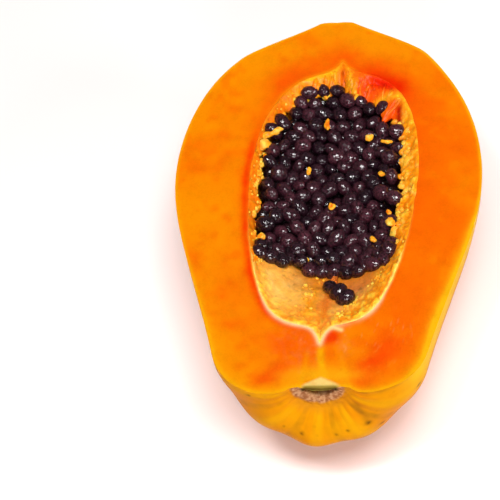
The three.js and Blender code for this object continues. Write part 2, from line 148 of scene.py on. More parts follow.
def noise(points, size, seed=0):
    """Smooth noise from -1 to 1: lattice values blended between the eight corners of a cell."""
    # The shift keeps the numbers of the cells positive.
    spot = np.asarray(points, float) / size + NOISE_SHIFT
    cell = np.floor(spot)
    share = spot - cell
    share = share * share * (3 - 2 * share)
    total = 0.0
    for corner in np.ndindex(2, 2, 2):
        weight = np.prod(np.where(corner, share, 1 - share), axis=-1)
        total = total + weight * lattice((cell + corner).astype(np.int64), seed)
    return 2 * total - 1


def rough(points, size, octaves, seed=0):
    """Noise over noise: each finer layer has half the size and half the height."""
    finer = [noise(points, size / 2**n, seed + n) / 2**n for n in range(octaves)]
    return sum(finer) / sum(0.5**n for n in range(octaves))


def running(steps):
    """The sum of all steps before each place, starting from 0."""
    return np.concatenate([[0], np.cumsum(steps)])


def unit(vectors):
    """The same directions with length 1."""
    return vectors / np.maximum(np.linalg.norm(vectors, axis=-1, keepdims=True), 1e-9)


print("noise spans", np.round(rough(np.random.default_rng(1).uniform(0, 90, (999, 3)), 9, 3), 2).min())

# %% [markdown]
# ## The skin
# A fruit is nearly a turned body, so one could spin a profile. But this one is deeper than it is
# wide, has shallow ribs at its stem end and leans forward under the scar. Here the profile is
# a chain of Bezier curves and arcs, carried through half a turn as one numpy grid, and then a
# formula moves every point of the round body to its true place. The rows lie close together on
# the small scar and wide apart on the calm flank.

# %% The profile


def bezier(points, count):
    """Bezier curve of any degree: each point weighted by its Bernstein polynomial."""
    points = np.array(points, float)
    degree = len(points) - 1
    t = np.linspace(0, 1, count)[:, None]
    return sum(
        math.comb(degree, k) * t**k * (1 - t) ** (degree - k) * points[k] for k in range(degree + 1)
    )


def arc(centre, radii, start, end, count):
    """Part of an ellipse: centre + (a cos t, b sin t)."""
    t = np.linspace(start, end, count)
    return np.stack([centre[0] + radii[0] * np.cos(t), centre[1] + radii[1] * np.sin(t)], 1)


def profile():
    """Outline from the stump in the scar to the blossom tip, as rows of (radius, place)."""
    shoulder_end = SHOULDER_TURN - math.pi / 2
    shoulder_y = SHOULDER_Y + SHOULDER_ROUND
    shoulder = arc((SHOULDER_RING, shoulder_y), (SHOULDER_ROUND,) * 2, -math.pi / 2, shoulder_end, 90)
    along = np.array([-math.sin(shoulder_end), math.cos(shoulder_end)])
    tip_turn = math.asin(BLOSSOM_ELLIPSE_END)
    blossom = arc((0, WIDEST_Y), (HALF_WIDTH, BLOSSOM_HALF_LENGTH), 0, tip_turn, 240)
    flank, tip = shoulder[-1], blossom[-1]
    tip_along = unit(np.array([
        -HALF_WIDTH * math.sin(tip_turn), BLOSSOM_HALF_LENGTH * math.cos(tip_turn)
    ]))
    last = np.array(BLOSSOM_TIP)
    curves = [
        bezier([(0, STUMP_Y), (STUMP_RADIUS, STUMP_Y), (STUMP_RADIUS, SCAR_HOLE_Y)], 30),
        bezier([(STUMP_RADIUS, SCAR_HOLE_Y), (SCAR_FLOOR_RADIUS, SCAR_HOLE_Y)], 12),
        bezier([(SCAR_FLOOR_RADIUS, SCAR_HOLE_Y), (SCAR_HOLE_RADIUS, SCAR_HOLE_EDGE_Y)], 20),
        bezier([(SCAR_HOLE_RADIUS, SCAR_HOLE_EDGE_Y), (SCAR_RADIUS, SCAR_Y)], 20),
        bezier([(SCAR_RADIUS, SCAR_Y), (SHOULDER_RING - 4, SHOULDER_Y), (SHOULDER_RING, SHOULDER_Y)], 30),
        shoulder,
        bezier([
            flank, flank + FLANK_START * along,
            (HALF_WIDTH, WIDEST_Y - FLANK_END), (HALF_WIDTH, WIDEST_Y),
        ], 240),
        blossom,
        bezier([tip, tip + TIP_LEAD * tip_along, last + TIP_FLARE, last], 160),
        bezier([last, last + TIP_CAP, (0, last[1] + TIP_CAP_HEIGHT)], 30),
    ]
    line = np.concatenate([curves[0]] + [curve[1:] for curve in curves[1:]])
    # Rows are spread evenly over a length that counts double or triple where detail is fine.
    step = np.hypot(*np.diff(line, axis=0).T)
    radius = (line[1:, 0] + line[:-1, 0]) / 2
    detail = 1 / (0.42 + 1.0 * smoothstep(radius, 12, 34))
    detail = np.where(line[1:, 1] > 60, 1 / (0.6 + 0.8 * smoothstep(radius, 8, 30)), detail)
    length = running(step * detail)
    wanted = np.linspace(0, length[-1], SKIN_ROWS + 1)
    return np.stack([np.interp(wanted, length, line[:, k]) for k in range(2)], 1)


def shape_body(radius, place, turn):
    """
    Point of the true body from the round one. Ribs add a cosine of nine times the turn that fades
    with the square of the distance from the stem end, the belly stretches z, and the lower side of
    the stem end leans forward by the square of the sine of the turn.
    """
    from_stem = place - SHOULDER_Y
    outside = smoothstep(radius, SCAR_RADIUS, 2.5 * SCAR_RADIUS)
    fade = outside * np.exp(-((from_stem / RIB_REACH) ** 2))
    rib = RIB_HEIGHT * fade * np.cos(RIBS_ROUND * (turn - RIB_CREST))
    lean = outside * np.exp(-((from_stem / STEM_BULGE_REACH) ** 2)) * np.sin(turn) ** 2
    drift = TIP_DRIFT * smoothstep(place, TIP_DRIFT_START, BLOSSOM_TIP[1])
    drift = drift - STEM_DRIFT * smoothstep(-place, 0, -SHOULDER_Y)
    x = (radius + rib) * np.cos(turn) + drift
    z = -(radius + rib) * np.sin(turn) * lerp(1, BELLY_DEPTH, outside)
    # At the cut, a lip of flesh bridges the hole of the scar.
    on_lip = (place < 0) * (1 - smoothstep(radius, LIP_HALF_WIDTH, LIP_HALF_WIDTH + 1))
    near_cut = 1 - smoothstep(radius * np.sin(turn), *LIP_THICKNESS)
    lip = LIP_Y - LIP_BULGE * np.maximum(0, 1 - (radius / LIP_HALF_WIDTH) ** 2)
    y = lerp(place, lip, on_lip * near_cut) - STEM_BULGE * lean - 0.8 * rib
    return np.stack(np.broadcast_arrays(x, y, z), -1)


SKIN_ROWS = 232
SKIN_SIDES = 144
outline = profile()
turns = np.linspace(0, math.pi, SKIN_SIDES + 1)
skin = shape_body(outline[:, :1], outline[:, 1:], turns[None, :])
print("skin spans", np.round(skin.reshape(-1, 3).min(0), 1), np.round(skin.reshape(-1, 3).max(0), 1))

# %% Relief of the skin


def grid_normals(grid, towards):
    """Unit normals: the cross product of the grid's two directions, on the side of a third."""
    normal = unit(np.cross(np.gradient(grid, axis=0), np.gradient(grid, axis=1)))
    return normal * np.where((normal * towards).sum(-1, keepdims=True) < 0, -1, 1)


def skin_relief(grid, radius, place, turn):
    """
    Height over the smooth form: faint dents everywhere, and fine folds that run into the scar.
    On the scar's ring, the cork stands up in grains; the hole inside it is crumbly.
    """
    stem_side = (place < 0).astype(float)
    on_ring = stem_side * window(radius, (5.8, 7.2), (11.5, 13.2))
    in_hole = stem_side * (1 - smoothstep(radius, 5.8, 7.2))
    folds = stem_side * window(radius, (11, 15), (15, 34))
    height = 0.28 * rough(grid, 24, 2, 3) * smoothstep(radius, 12, 30)
    height = height + on_ring * (0.35 + 0.5 * rough(grid, 1.7, 2, 5))
    height = height + in_hole * 0.45 * rough(grid, 1.4, 2, 6)
    height = height + folds * 0.12 * np.cos(CREASES_ROUND * turn + 2.4 * noise(grid, 9, 8))
    nub = (1 - stem_side) * (1 - smoothstep(radius, 3, 9))
    return height + nub * 0.6 * rough(grid, 3.2, 2, 9)


relief = skin_relief(skin, *np.broadcast_arrays(outline[:, :1], outline[:, 1:], turns[None, :]))
# Relief fades out towards the cut's edge, where the knife left a clean line.
relief = relief * (0.25 + 0.75 * smoothstep(-skin[..., 2], 0, 2.5))
skin = skin + relief[..., None] * grid_normals(skin, skin - [0, WIDEST_Y, 0])
skin[:, [0, -1], 2] = 0
skin[..., 2] = np.clip(skin[..., 2], REST_HEIGHT, 0)
skin[[0, -1]] = skin[[0, -1], :1] * [1, 1, 0]
print("relief from", round(relief.min(), 2), "to", round(relief.max(), 2), "mm")

# %% [markdown]
# ## The cut and the hollow
# One could cut the hollow with a Boolean, but that leaves long thin faces that shade badly and
# give nothing to hang a pattern on. Instead the cut is a ring of its own: from each point of the
# outer edge a straight spoke runs to the hollow's rim, and from there the same spoke goes down
# the wall to the deepest point. The three grids share their border points, so the fruit is one
# closed surface.

# %% Outline of the hollow


def round_rim(turn):
    """Rounded rim: powers of sine and cosine, blunt towards the blossom, long towards the stem."""
    across, along = np.cos(turn), np.sin(turn)
    near = along < 0
    reach = np.where(near, NEAR_REACH, FAR_REACH)
    y = np.sign(along) * reach * np.abs(along) ** np.where(near, NEAR_ALONG, FAR_ALONG)
    half_width = HOLLOW_HALF_WIDTH * np.abs(across) ** np.where(near, NEAR_ACROSS, FAR_ACROSS)
    return MIDDLE_X + HOLLOW_LEAN * y + np.sign(across) * half_width, MIDDLE_Y + y


def rim_point(turn):
    """How far the notch and the pointed far end reach past the round rim: they fade sideways."""
    near = np.sin(turn) < 0
    across = np.where(near, NEAR_ACROSS, FAR_ACROSS)
    sideways = HOLLOW_HALF_WIDTH * np.abs(np.cos(turn)) ** across
    notch = CUSP_DEPTH * np.exp(-sideways / CUSP_WIDTH)
    flame = FLAME_DEPTH * np.exp(-sideways / FLAME_WIDTH)
    return np.where(near, -notch, flame)


def locate(edge, x, y):
    """Share of the way out and turn of a point's spoke, by halving the range of turns."""
    wanted = np.arctan2(y - MIDDLE_Y, x - MIDDLE_X)
    low, high = wanted - SEARCH_RANGE, wanted + SEARCH_RANGE
    for _ in range(HALVINGS):
        turn = (low + high) / 2
        edge_x, edge_y = edge(turn)
        beyond = np.sin(np.arctan2(edge_y - MIDDLE_Y, edge_x - MIDDLE_X) - wanted) > 0
        low, high = np.where(beyond, low, turn), np.where(beyond, turn, high)
    edge_x, edge_y = edge(low)
    reach = np.hypot(edge_x - MIDDLE_X, edge_y - MIDDLE_Y)
    return np.hypot(x - MIDDLE_X, y - MIDDLE_Y) / reach, low


def hollow_depth(share, turn):
    """Depth below the cut: (1 - share^a)^b, steep walls at the sides, a long slope at the stem."""
    near = smoothstep(-np.sin(turn), 0.2, 0.85)
    right = smoothstep(np.cos(turn), 0, 0.8)
    swell = lerp(lerp(2.6, 2, right), 0.85, near)
    steepness = lerp(lerp(0.5, 0.7, right), 1, near)
    return HOLLOW_DEPTH * (1 - share**swell) ** steepness


# %% The two grids on the spokes
CUT_ROWS = 56
HOLLOW_ROWS = 64

border = np.concatenate([skin[:, 0], skin[1:-1, -1][::-1]])
_, rim_turns = locate(round_rim, border[:, 0], border[:, 1])
rim_x, rim_y = round_rim(rim_turns)
rim = np.stack([rim_x, rim_y + rim_point(rim_turns), np.zeros(len(border))], 1)
ragged = 0.45 * rough(rim, 5, 3, 21) + 0.5 * noise(rim, 14, 22) * smoothstep(rim[:, 1], 20, 50)
spokes = rim - [MIDDLE_X, MIDDLE_Y, 0]
rim = rim + ragged[:, None] * unit(spokes)

cut_shares = (1 - np.cos(np.linspace(0, math.pi, CUT_ROWS + 1))) / 2
cut = lerp(border[None], rim[None], cut_shares[:, None, None])
ripple = 0.10 * rough(cut, 16, 2, 31) + 0.04 * rough(cut, 3, 2, 32)
cut[1:-1, :, 2] = (ripple * np.sin(math.pi * cut_shares)[:, None])[1:-1] - 0.05

hollow_shares = np.cos(np.linspace(0, math.pi / 2, HOLLOW_ROWS + 1))
middle = np.array([MIDDLE_X, MIDDLE_Y, 0])
hollow = middle + (rim - middle)[None] * hollow_shares[:, None, None]
fade = hollow_shares[:, None] ** POINT_FADE - hollow_shares[:, None]
hollow[..., 1] += rim_point(rim_turns)[None, :] * fade
hollow[..., 2] = -hollow_depth(hollow_shares[:, None], rim_turns[None, :])
print("spokes", len(border), "rim", np.round(rim.min(0), 1), np.round(rim.max(0), 1))

# %% Relief of the hollow's wall


def rim_band(points, share):
    """Where the bare end keeps granules of pulp: along its rim, in a broad band on the +X side."""
    x, y = points[..., 0], points[..., 1]
    right = smoothstep(x, 2, 14)
    bare = smoothstep(-y, 26, 40)
    return bare * (0.45 + 0.55 * right) * smoothstep(share, lerp(0.84, 0.7, right), 0.93)


def granules(points):
    """Coarse rounded grains: the absolute value of noise, largest where the noise is far from 0."""
    return 1.5 * np.abs(rough(points, 2.7, 2, 45)) ** 0.8


def wall_relief(points, share):
    """
    Lumps that stand inwards: low swellings on the bare floor near the stem, and coarse grains where
    the seeds hung, most of all on the +X wall. Nothing right at the rim.
    """
    x, y = points[..., 0], points[..., 1]
    hung = smoothstep(y, -62, -20)
    right = smoothstep(x, 5, 25)
    upper = smoothstep(share, 0.6, 0.9)
    grain = 0.14 + hung * (0.5 + 0.6 * right) * upper
    lumps = 0.9 * np.abs(rough(points, 3.4, 2, 41)) + 0.35 * noise(points, 1.7, 43)
    swell = 0.5 * rough(points, 11, 2, 44)
    rise = smoothstep(1 - share, 0.0, 0.012)
    return rise * (grain * lumps + swell + rim_band(points, share) * granules(points))


inwards = grid_normals(hollow, middle - [0, 0, 12] - hollow)
hollow_relief = wall_relief(hollow, np.broadcast_to(hollow_shares[:, None], hollow.shape[:2]))
hollow[1:] += (hollow_relief[..., None] * inwards)[1:]
hollow[..., 2] = np.minimum(hollow[..., 2], 0)
hollow[-1] = hollow[-1].mean(0)
print("grains up to", round(hollow_relief.max(), 2), "mm")

# %% [markdown]
# ## From grids to a mesh
# Neighbouring grids use the same border points, so they are numbered once. A quad always lists its
# corners in the same sense, and the signed volume tells at the end whether the surface faces
# outwards.

# %% Mesh helper
ORIGIN = np.array([
    (fruit_low.x + fruit_high.x) * 500 - (skin[..., 0].max() + skin[..., 0].min()) / 2,
    (fruit_low.y + fruit_high.y) * 500 - (skin[..., 1].max() + skin[..., 1].min()) / 2,
    -REST_HEIGHT,
])


def quads(ids, closed):
    """Faces between neighbouring rows of point numbers, joined round where the rows are closed."""
    if closed:
        ids = np.column_stack([ids, ids[:, 0]])
    return np.stack([ids[:-1, 1:], ids[:-1, :-1], ids[1:, :-1], ids[1:, 1:]], -1).reshape(-1, 4)


def volume(points, faces):
    """Signed volume in cubic cm: a sixth of the triple products of the triangles' corners."""
    a, b, c, d = (points[faces[:, k]] for k in range(4))
    six = np.einsum("ij,ij->i", a, np.cross(b, c)) + np.einsum("ij,ij->i", a, np.cross(c, d))
    return six.sum() / 6000


def outward(points, faces):
    """The same faces, all turned over if their signed volume is negative."""
    return faces if volume(points, faces) > 0 else faces[:, ::-1]


def compact(points, faces):
    """Drops points that no face uses and numbers the rest again."""
    used, faces = np.unique(faces, return_inverse=True)
    return points[used], faces.reshape(-1, 4), used


def put(name, data):
    """An object with its data, placed at the origin of the scene."""
    thing = bpy.data.objects.new(name, data)
    bpy.context.scene.collection.objects.link(thing)
    return thing


def mesh_piece(name, points, faces, replaced=(), sharp_over=None):
    """
    A mesh object from points in mm and quads; a quad whose corners repeat becomes a triangle. Its
    faces are smooth, except at edges that bend by more than an angle in degrees.
    """
    mesh = bpy.data.meshes.new(name)
    place = (points + ORIGIN) / 1000
    keep = faces != np.roll(faces, -1, axis=1)
    loops = faces[keep]
    starts = running(keep.sum(1))[:-1]
    mesh.vertices.add(len(place))
    mesh.vertices.foreach_set("co", place.astype(np.float32).ravel())
    mesh.loops.add(len(loops))
    mesh.loops.foreach_set("vertex_index", loops.astype(np.int32))
    mesh.polygons.add(len(faces))
    mesh.polygons.foreach_set("loop_start", starts.astype(np.int32))
    mesh.update(calc_edges=True)
    mesh.validate()
    mesh.polygons.foreach_set("use_smooth", np.ones(len(faces), bool))
    if sharp_over:
        mesh.set_sharp_from_angle(angle=math.radians(sharp_over))
    piece = put(name, mesh)
    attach(piece, "root")
    if replaced:
        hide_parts(*replaced)
    print(name, len(faces), "faces,", round(volume(points, faces), 1), "cm3")
    return piece


def dress(piece, colours, *materials):
    """Keeps a colour for every vertex under the name "tint", and adds the materials that read it."""
    tint = piece.data.attributes.new("tint", "FLOAT_COLOR", "POINT")
    values = np.column_stack([colours, np.ones(len(colours))])
    tint.data.foreach_set("color", values.astype(np.float32).ravel())
    for material in materials:
        piece.data.materials.append(material)


# %% Join the three grids
skin_ids = np.arange(skin.shape[0] * skin.shape[1]).reshape(skin.shape[:2])
skin_ids[0], skin_ids[-1] = skin_ids[0, 0], skin_ids[-1, 0]
border_ids = np.concatenate([skin_ids[:, 0], skin_ids[1:-1, -1][::-1]])
first_free = skin.shape[0] * skin.shape[1]
cut_ids = np.arange(CUT_ROWS * len(border)).reshape(CUT_ROWS, -1) + first_free
cut_ids = np.concatenate([border_ids[None], cut_ids])
first_free = cut_ids.max() + 1
hollow_ids = np.arange(HOLLOW_ROWS * len(border)).reshape(HOLLOW_ROWS, -1) + first_free
hollow_ids[-1] = hollow_ids[-1, 0]
hollow_ids = np.concatenate([cut_ids[-1:], hollow_ids])
fruit_points = np.concatenate([skin.reshape(-1, 3), cut[1:].reshape(-1, 3), hollow[1:].reshape(-1, 3)])

skin_faces = quads(skin_ids.T, False)[:, ::-1]
cut_faces = quads(cut_ids, True)
hollow_faces = quads(hollow_ids, True)
fruit_faces = outward(fruit_points, np.concatenate([skin_faces, cut_faces, hollow_faces]))
fruit_points, fruit_faces, fruit_used = compact(fruit_points, fruit_faces)
fruit = mesh_piece("papaya_flesh", fruit_points, fruit_faces, ["fruit"], 38)
face_kind = np.repeat([0, 1, 2], [len(skin_faces), len(cut_faces), len(hollow_faces)])

# %% [markdown]
# ## Painting the fruit
# The colours of a ripe papaya follow its anatomy: yellow right under the skin, orange in the
# middle of the flesh, redder where it meets the hollow, yellow along the strands that come in from
# the stalk. An image texture would fix all that to one picture. Here each zone is a weight worked
# out from distances in the fruit, coats of plain tones are brushed over a ground with these weights,
# and the result is kept on the vertices. The materials only add the fine grain on top.

# %% Colour helpers
STUDIO = 0.61
RIND_GAIN = 0.99
# Painted light: how much lighter the tones inside the hollow are made, for the light the hollow lacks.
HOLLOW_LIGHT_GAIN = 1.5


def tone(red, green, blue):
    """An sRGB tone as linear light, scaled so that it comes out right under the studio's light."""
    value = np.array([red, green, blue]) / 255
    return STUDIO * np.where(value <= 0.04045, value / 12.92, ((value + 0.055) / 1.055) ** 2.4)


def hollow_gain(points):
    """Painted light: tones inside the hollow are made lighter, since less light falls in than on the cut,
    and lighter still on the steep wall just below the rim.
    """
    depth = -points[:, 2:]
    rim_wall_light = lerp(1.2, 1, smoothstep(depth, 0.2, 1))
    return rim_wall_light * lerp(1.4, HOLLOW_LIGHT_GAIN, smoothstep(depth, 0.3, 4))


def blend(first, second, share):
    """Tones between two, one for each share."""
    return lerp(tone(*first), tone(*second), share[:, None])


def layers(points, ground, coats):
    """
    A colour for every point: the ground, with coats of (weight from 0 to 1, tone) brushed over it,
    the last one on top. A tone is (red, green, blue) or an array of linear light.
    """
    colour = 0 * points + (tone(*ground) if isinstance(ground, tuple) else ground)
    for weight, wanted in coats:
        wanted = tone(*wanted) if isinstance(wanted, tuple) else wanted
        colour = colour + np.clip(weight, 0, 1)[:, None] * (wanted - colour)
    return colour


def gap_to(points, line, closed=False):
    """Distance in the plane of the cut to a line: the least over its straight pieces."""
    start, end = (line, np.roll(line, -1, 0)) if closed else (line[:-1], line[1:])
    along = end - start
    offset = points[:, None, :2] - start
    share = np.clip((offset * along).sum(-1) / np.maximum((along**2).sum(-1), 1e-9), 0, 1)
    return np.linalg.norm(offset - share[..., None] * along, axis=-1).min(1)


def bell(gap, reach):
    """1 at no distance, falling off as the square of the distance grows."""
    return np.exp(-((gap / reach) ** 2))


def blobs(points, *places):
    """
    Sum of bell-shaped weights round places, each given as (weight, x, y, reach along, reach
    across, turn of those two axes in degrees).
    """
    total = 0
    for weight, x, y, reach_along, reach_across, turn in places:
        offset = points[:, :2] - (x, y)
        angle = math.radians(turn)
        along = offset @ [math.cos(angle), math.sin(angle)]
        across = offset @ [-math.sin(angle), math.cos(angle)]
        total = total + weight * np.exp(-((along / reach_along) ** 2) - (across / reach_across) ** 2)
    return total


skin_gap = gap_to(fruit_points, border[:, :2], True)
rim_gap = gap_to(fruit_points, rim[:, :2], True)
print("widest flesh", round(float(gap_to(rim, border[:, :2], True).max()), 1), "mm")

# %% Tones of the cut
GASH = np.array([(18.4, 64.0), (22.7, 62.0), (26.0, 60.6), (29.4, 58.2)])
SLIT = np.array([(30.1, 48.5), (30.0, 44.5), (30.5, 39.8)])
LOBE = np.array([(20.8, 53.4), (24.6, 54.6), (29.2, 54.2), (32.6, 51.4), (35, 46.6), (36.6, 39.5)])
CREAM_ARC = np.array([(-1.0, -74.6), (0.4, -71.3), (2.2, -69.4), (4.2, -69.0), (7.2, -70.2)])


def paint_cut(points, skin_gap, rim_gap):
    """Orange flesh: a slow drift from left to right, then edges, strands and riper patches."""
    x, y = points[:, 0], points[:, 1]
    flat = points * [1, 1, 0]
    cloud = rough(flat, 24, 3, 61)
    fine = rough(flat, 5, 3, 62)
    flecks = rough(flat, 1.6, 2, 63)
    low = smoothstep(-y, 20, 75) * (1 - blobs(points, (0.5, -42, -45, 12, 26, 12)))
    far = smoothstep(y, 34, 60)
    inner = (0.75 + 0.25 * far) * np.exp(-rim_gap / 5) * (0.8 + 0.6 * cloud)
    reach = 6.5 + 4 * bell(x - 24, 16)
    riper = far * bell(rim_gap, reach) * (0.75 + 0.5 * fine) * lerp(0.95, 1, smoothstep(x, 2, 16))
    riper = riper + blobs(points, (0.8, -20, 68, 13, 6, 40)) * (0.8 + 0.4 * cloud)
    left_line = bell(rim_gap - 1.5, 1.9) * smoothstep(-x, 6, 24) * smoothstep(-y, -48, -20)
    pinkish = blobs(points, (0.7, -10, -79, 7, 10, 25), (0.5, 8, -78, 4, 5, 0))
    white_bits = smoothstep(flecks, 0.42, 0.6) * (pinkish + blobs(points, (0.8, 24, -74, 15, 9, 42)))
    edge = bell(skin_gap, 1.1) + low * (0.6 * bell(skin_gap, 3.2) + 0.2 * bell(skin_gap, 7))
    edge = edge + smoothstep(x, 30, 44) * smoothstep(-y, 0, 30) * bell(skin_gap, 2.6)
    yellow = blend((252, 172, 10), (255, 188, 18), smoothstep(x, 28, 42))
    patches = blobs(
        points, (1.5, -19.6, -91.2, 8, 3.4, 30), (1.4, 17.5, -88.8, 12.5, 6, 50),
        (0.45, -13, -77, 9, 7, 0), (0.4, 25, -72, 9, 9, 20), (0.4, -38, -52, 9, 18, 10),
    )
    # Thin pale strands curve through the riper patch.
    curls = np.sin(1.5 * np.hypot(x - 2, y + 62) + 1.2 * cloud)
    curls = smoothstep(curls, 0.8, 1) * blobs(points, (1, 22, -84, 12, 6, 50))
    curls = curls * smoothstep(flecks, -0.3, 0.3)
    strands = (
        bell(x - 0.2 - 0.8 * np.sin(y / 4), 1.5) * smoothstep(-y, 75, 80)
        + 0.45 * bell(x + 5.5 - 0.16 * (y + 80), 1.1) * smoothstep(-y, 78, 86)
        + 0.35 * bell(x - 7 + 0.2 * (y + 80), 1.3) * smoothstep(-y, 80, 88)
    )
    crown = blobs(points, (1, 0, -91.3, 16, 4, 0)) * (0.95 + 0.5 * fine)
    lip_height = -y - 92.4 - 0.46 * np.abs(x + 0.3)
    lip = smoothstep(lip_height, -0.7, 0.7) * (1 - smoothstep(np.abs(x + 0.3), 5.6, 8))
    gash = gap_to(points, GASH)
    # Where the pulp is torn, its yellow reaches out over the rim.
    frayed = far * bell(rim_gap, 1.5 + 1.1 * fine) * (1 - smoothstep(x, 8, 14))
    near = smoothstep(-y, 4, 44)
    white = bell(rim_gap, 0.5 + 0.7 * near * smoothstep(-y, 50, 64)) * (1 - 0.8 * far)
    white = white * (1 - blobs(points, (0.85, 11, -66.5, 6.5, 3, 0)))
    cream = blend((255, 186, 62), (254, 216, 156), smoothstep(-y, 42, 60))
    colour = layers(points, (254, 138, 2), [
        (smoothstep(x, -20, 34), (253, 111, 2)),
        (smoothstep(y, 60, 84) * 0.9, (254, 147, 5)),
        (0.6 * bell(skin_gap, 9) * (1 - smoothstep(x, 0, 30)), (255, 148, 2)),
        (0.75 * smoothstep(cloud, -0.05, 0.5), (252, 106, 2)),
        (0.5 * smoothstep(-cloud, 0, 0.5), (255, 150, 3)),
        (0.45 * smoothstep(fine, 0, 0.5), (250, 100, 3)),
        (0.3 * smoothstep(-fine, 0.1, 0.5), (255, 152, 4)),
        (inner, (251, 94, 3)),
        (0.9 * riper, (250, 84, 5)),
        (0.95 * left_line * (0.9 + 0.5 * fine), (247, 60, 2)),
        (0.6 * pinkish * smoothstep(flecks, -0.3, 0.4), (244, 126, 62)),
        (0.35 * white_bits, (254, 190, 110)),
        (0.9 * edge * (0.85 + 0.4 * fine), yellow),
        (0.95 * patches * (0.9 + 0.5 * fine) * (1 - bell(skin_gap, 2.4)), (249, 74, 4)),
        (0.4 * curls, (254, 150, 40)),
        (0.85 * strands * (0.85 + 0.5 * flecks), (254, 186, 6)),
        (crown, (252, 172, 14)),
        (lip * (0.9 + 0.3 * flecks), (251, 214, 124)),
        # Its front edge dips into the scar: painted olive, then dark, as painted shade where the edge turns
        # down into the hole.
        (lip * smoothstep(-y, 95.6, 96.6), (170, 142, 58)),
        (0.95 * lip * smoothstep(-y + 0.08 * np.abs(x), 96.9, 97.9), (98, 72, 20)),
        (blobs(points, (1.3, 3.3, -73.6, 3.6, 3.2, 25)), (247, 66, 4)),
        (0.75 * bell(gash, 7), (247, 66, 3)),
        (0.85 * bell(gash - 1, 3.2 + 1.8 * fine) * smoothstep(x, 12, 22), (236, 28, 0)),
        (0.75 * frayed, (253, 150, 12)),
        (0.92 * white * (0.05 + 0.95 * near), cream),
        (0.95 * bell(gap_to(points, CREAM_ARC), 0.9), (255, 222, 140)),
    ])
    # The blossom end lies further from the lamps, so its tones are lifted a little.
    return colour * (1.03 + 0.0008 * (y + 25))[:, None]


# %% Tones of the hollow
PIN_HOLES = [
    (0.8, 12.1, -50.9, 0.9, 0.9, 0), (0.8, 10.8, -49.3, 0.7, 0.7, 0), (0.8, 14.2, -45, 0.8, 0.8, 0),
]


def paint_hollow(points, rim_gap):
    """Yellow pulp with deeper pits, a paler bare floor, a cream line right at the rim, and painted shade
    beside the heap and under it.
    """
    x, y, z = points.T
    grain = rough(points, 3.0, 3, 71)
    cloud = rough(points, 9, 2, 72)
    fine = rough(points, 1.3, 2, 73)
    fibre = rough(points * [1 / 1.7, 1 / 9, 1 / 9], 1.0, 3, 74)
    floor = smoothstep(-y, 20, 34) * smoothstep(-z, 0.4, 1.8)
    # The bare floor: cream on the -X side, browner in the middle, an orange streak between them.
    middle_x = x + 5.5 - 0.06 * (y + 50)
    bare = blend((250, 180, 76), (228, 116, 26), smoothstep(middle_x + 3 * cloud, -2, 7))
    streak = bell(middle_x + 1.5 * cloud, 3.4) + 0.5 * bell(middle_x - 9 + 2 * cloud, 1.8)
    # Browner floor just in front of the heap: painted shadow of the seeds.
    heap_shadow = floor * smoothstep(y, -47, -38) * smoothstep(x, -24, -10)
    bruise = blobs(points, (1, 12, -47, 9, 6, 30), (0.9, -25, -21, 4, 9, -10))
    band = rim_band(points, locate(round_rim, x, y)[0])
    yellow = blend((248, 142, 16), (255, 206, 60), smoothstep(granules(points), 0.2, 0.75))
    pits = smoothstep(fine, 0.34, 0.5) * (0.25 + 0.75 * smoothstep(grain, -0.1, 0.3))
    # Dark red-brown low in the hollow under the heap: painted shade.
    deep_shade = smoothstep(-z, 11, 18) * smoothstep(y, -38, -28)
    slit = bell(gap_to(points, SLIT), 1.3) * (1 - smoothstep(-z, 9, 12))
    white = bell(rim_gap, 0.8) * smoothstep(-y, 12, 44)
    return layers(points, (252, 158, 24), [
        (smoothstep(grain, 0.0, 0.5), (254, 190, 56)),
        (0.7 * smoothstep(-grain, 0.05, 0.5), (242, 110, 10)),
        (0.5 * smoothstep(y, 40, 62), (250, 132, 12)),
        (0.96 * floor, bare),
        (0.5 * floor * smoothstep(cloud, 0.0, 0.5), (240, 150, 48)),
        (0.5 * floor * smoothstep(-cloud, 0.05, 0.5), (255, 204, 112)),
        (0.9 * floor * streak * smoothstep(fibre, -0.35, 0.15), (250, 152, 14)),
        (0.7 * floor * streak * smoothstep(-fibre, 0.1, 0.45), (238, 108, 8)),
        (0.75 * heap_shadow * (0.8 + 0.6 * grain), (206, 118, 36)),
        (0.7 * bruise * floor, (204, 116, 66)),
        (0.95 * band, yellow),
        (0.6 * band * smoothstep(cloud, 0.15, 0.4), (250, 140, 14)),
        (0.55 * floor * pits * (0.3 + heap_shadow + bruise), (126, 76, 24)),
        *[(blobs(points, pin_hole), (96, 60, 20)) for pin_hole in PIN_HOLES],
        (deep_shade, (96, 26, 12)),
        (0.9 * slit, (186, 22, 4)),
        (0.9 * white, (254, 206, 104)),
    ])


# %% Tones of the rind
RING_OFFSET = 1.3
# A dark furrow and specks, as (x, z) on the stem end.
FURROW = np.array([(12.3, -6.2), (14.4, -11.4), (17.2, -18.9)])
SPECKS = [
    ((17.4, -19.4), 1.1), ((-9, -23.3), 0.8), ((9.2, -22.3), 0.6), ((22.4, -24.9), 0.8),
    ((-28.5, -2.9), 0.8), ((37.3, -10.1), 0.7), ((4.5, -24), 0.5), ((-16, -20), 0.5),
]


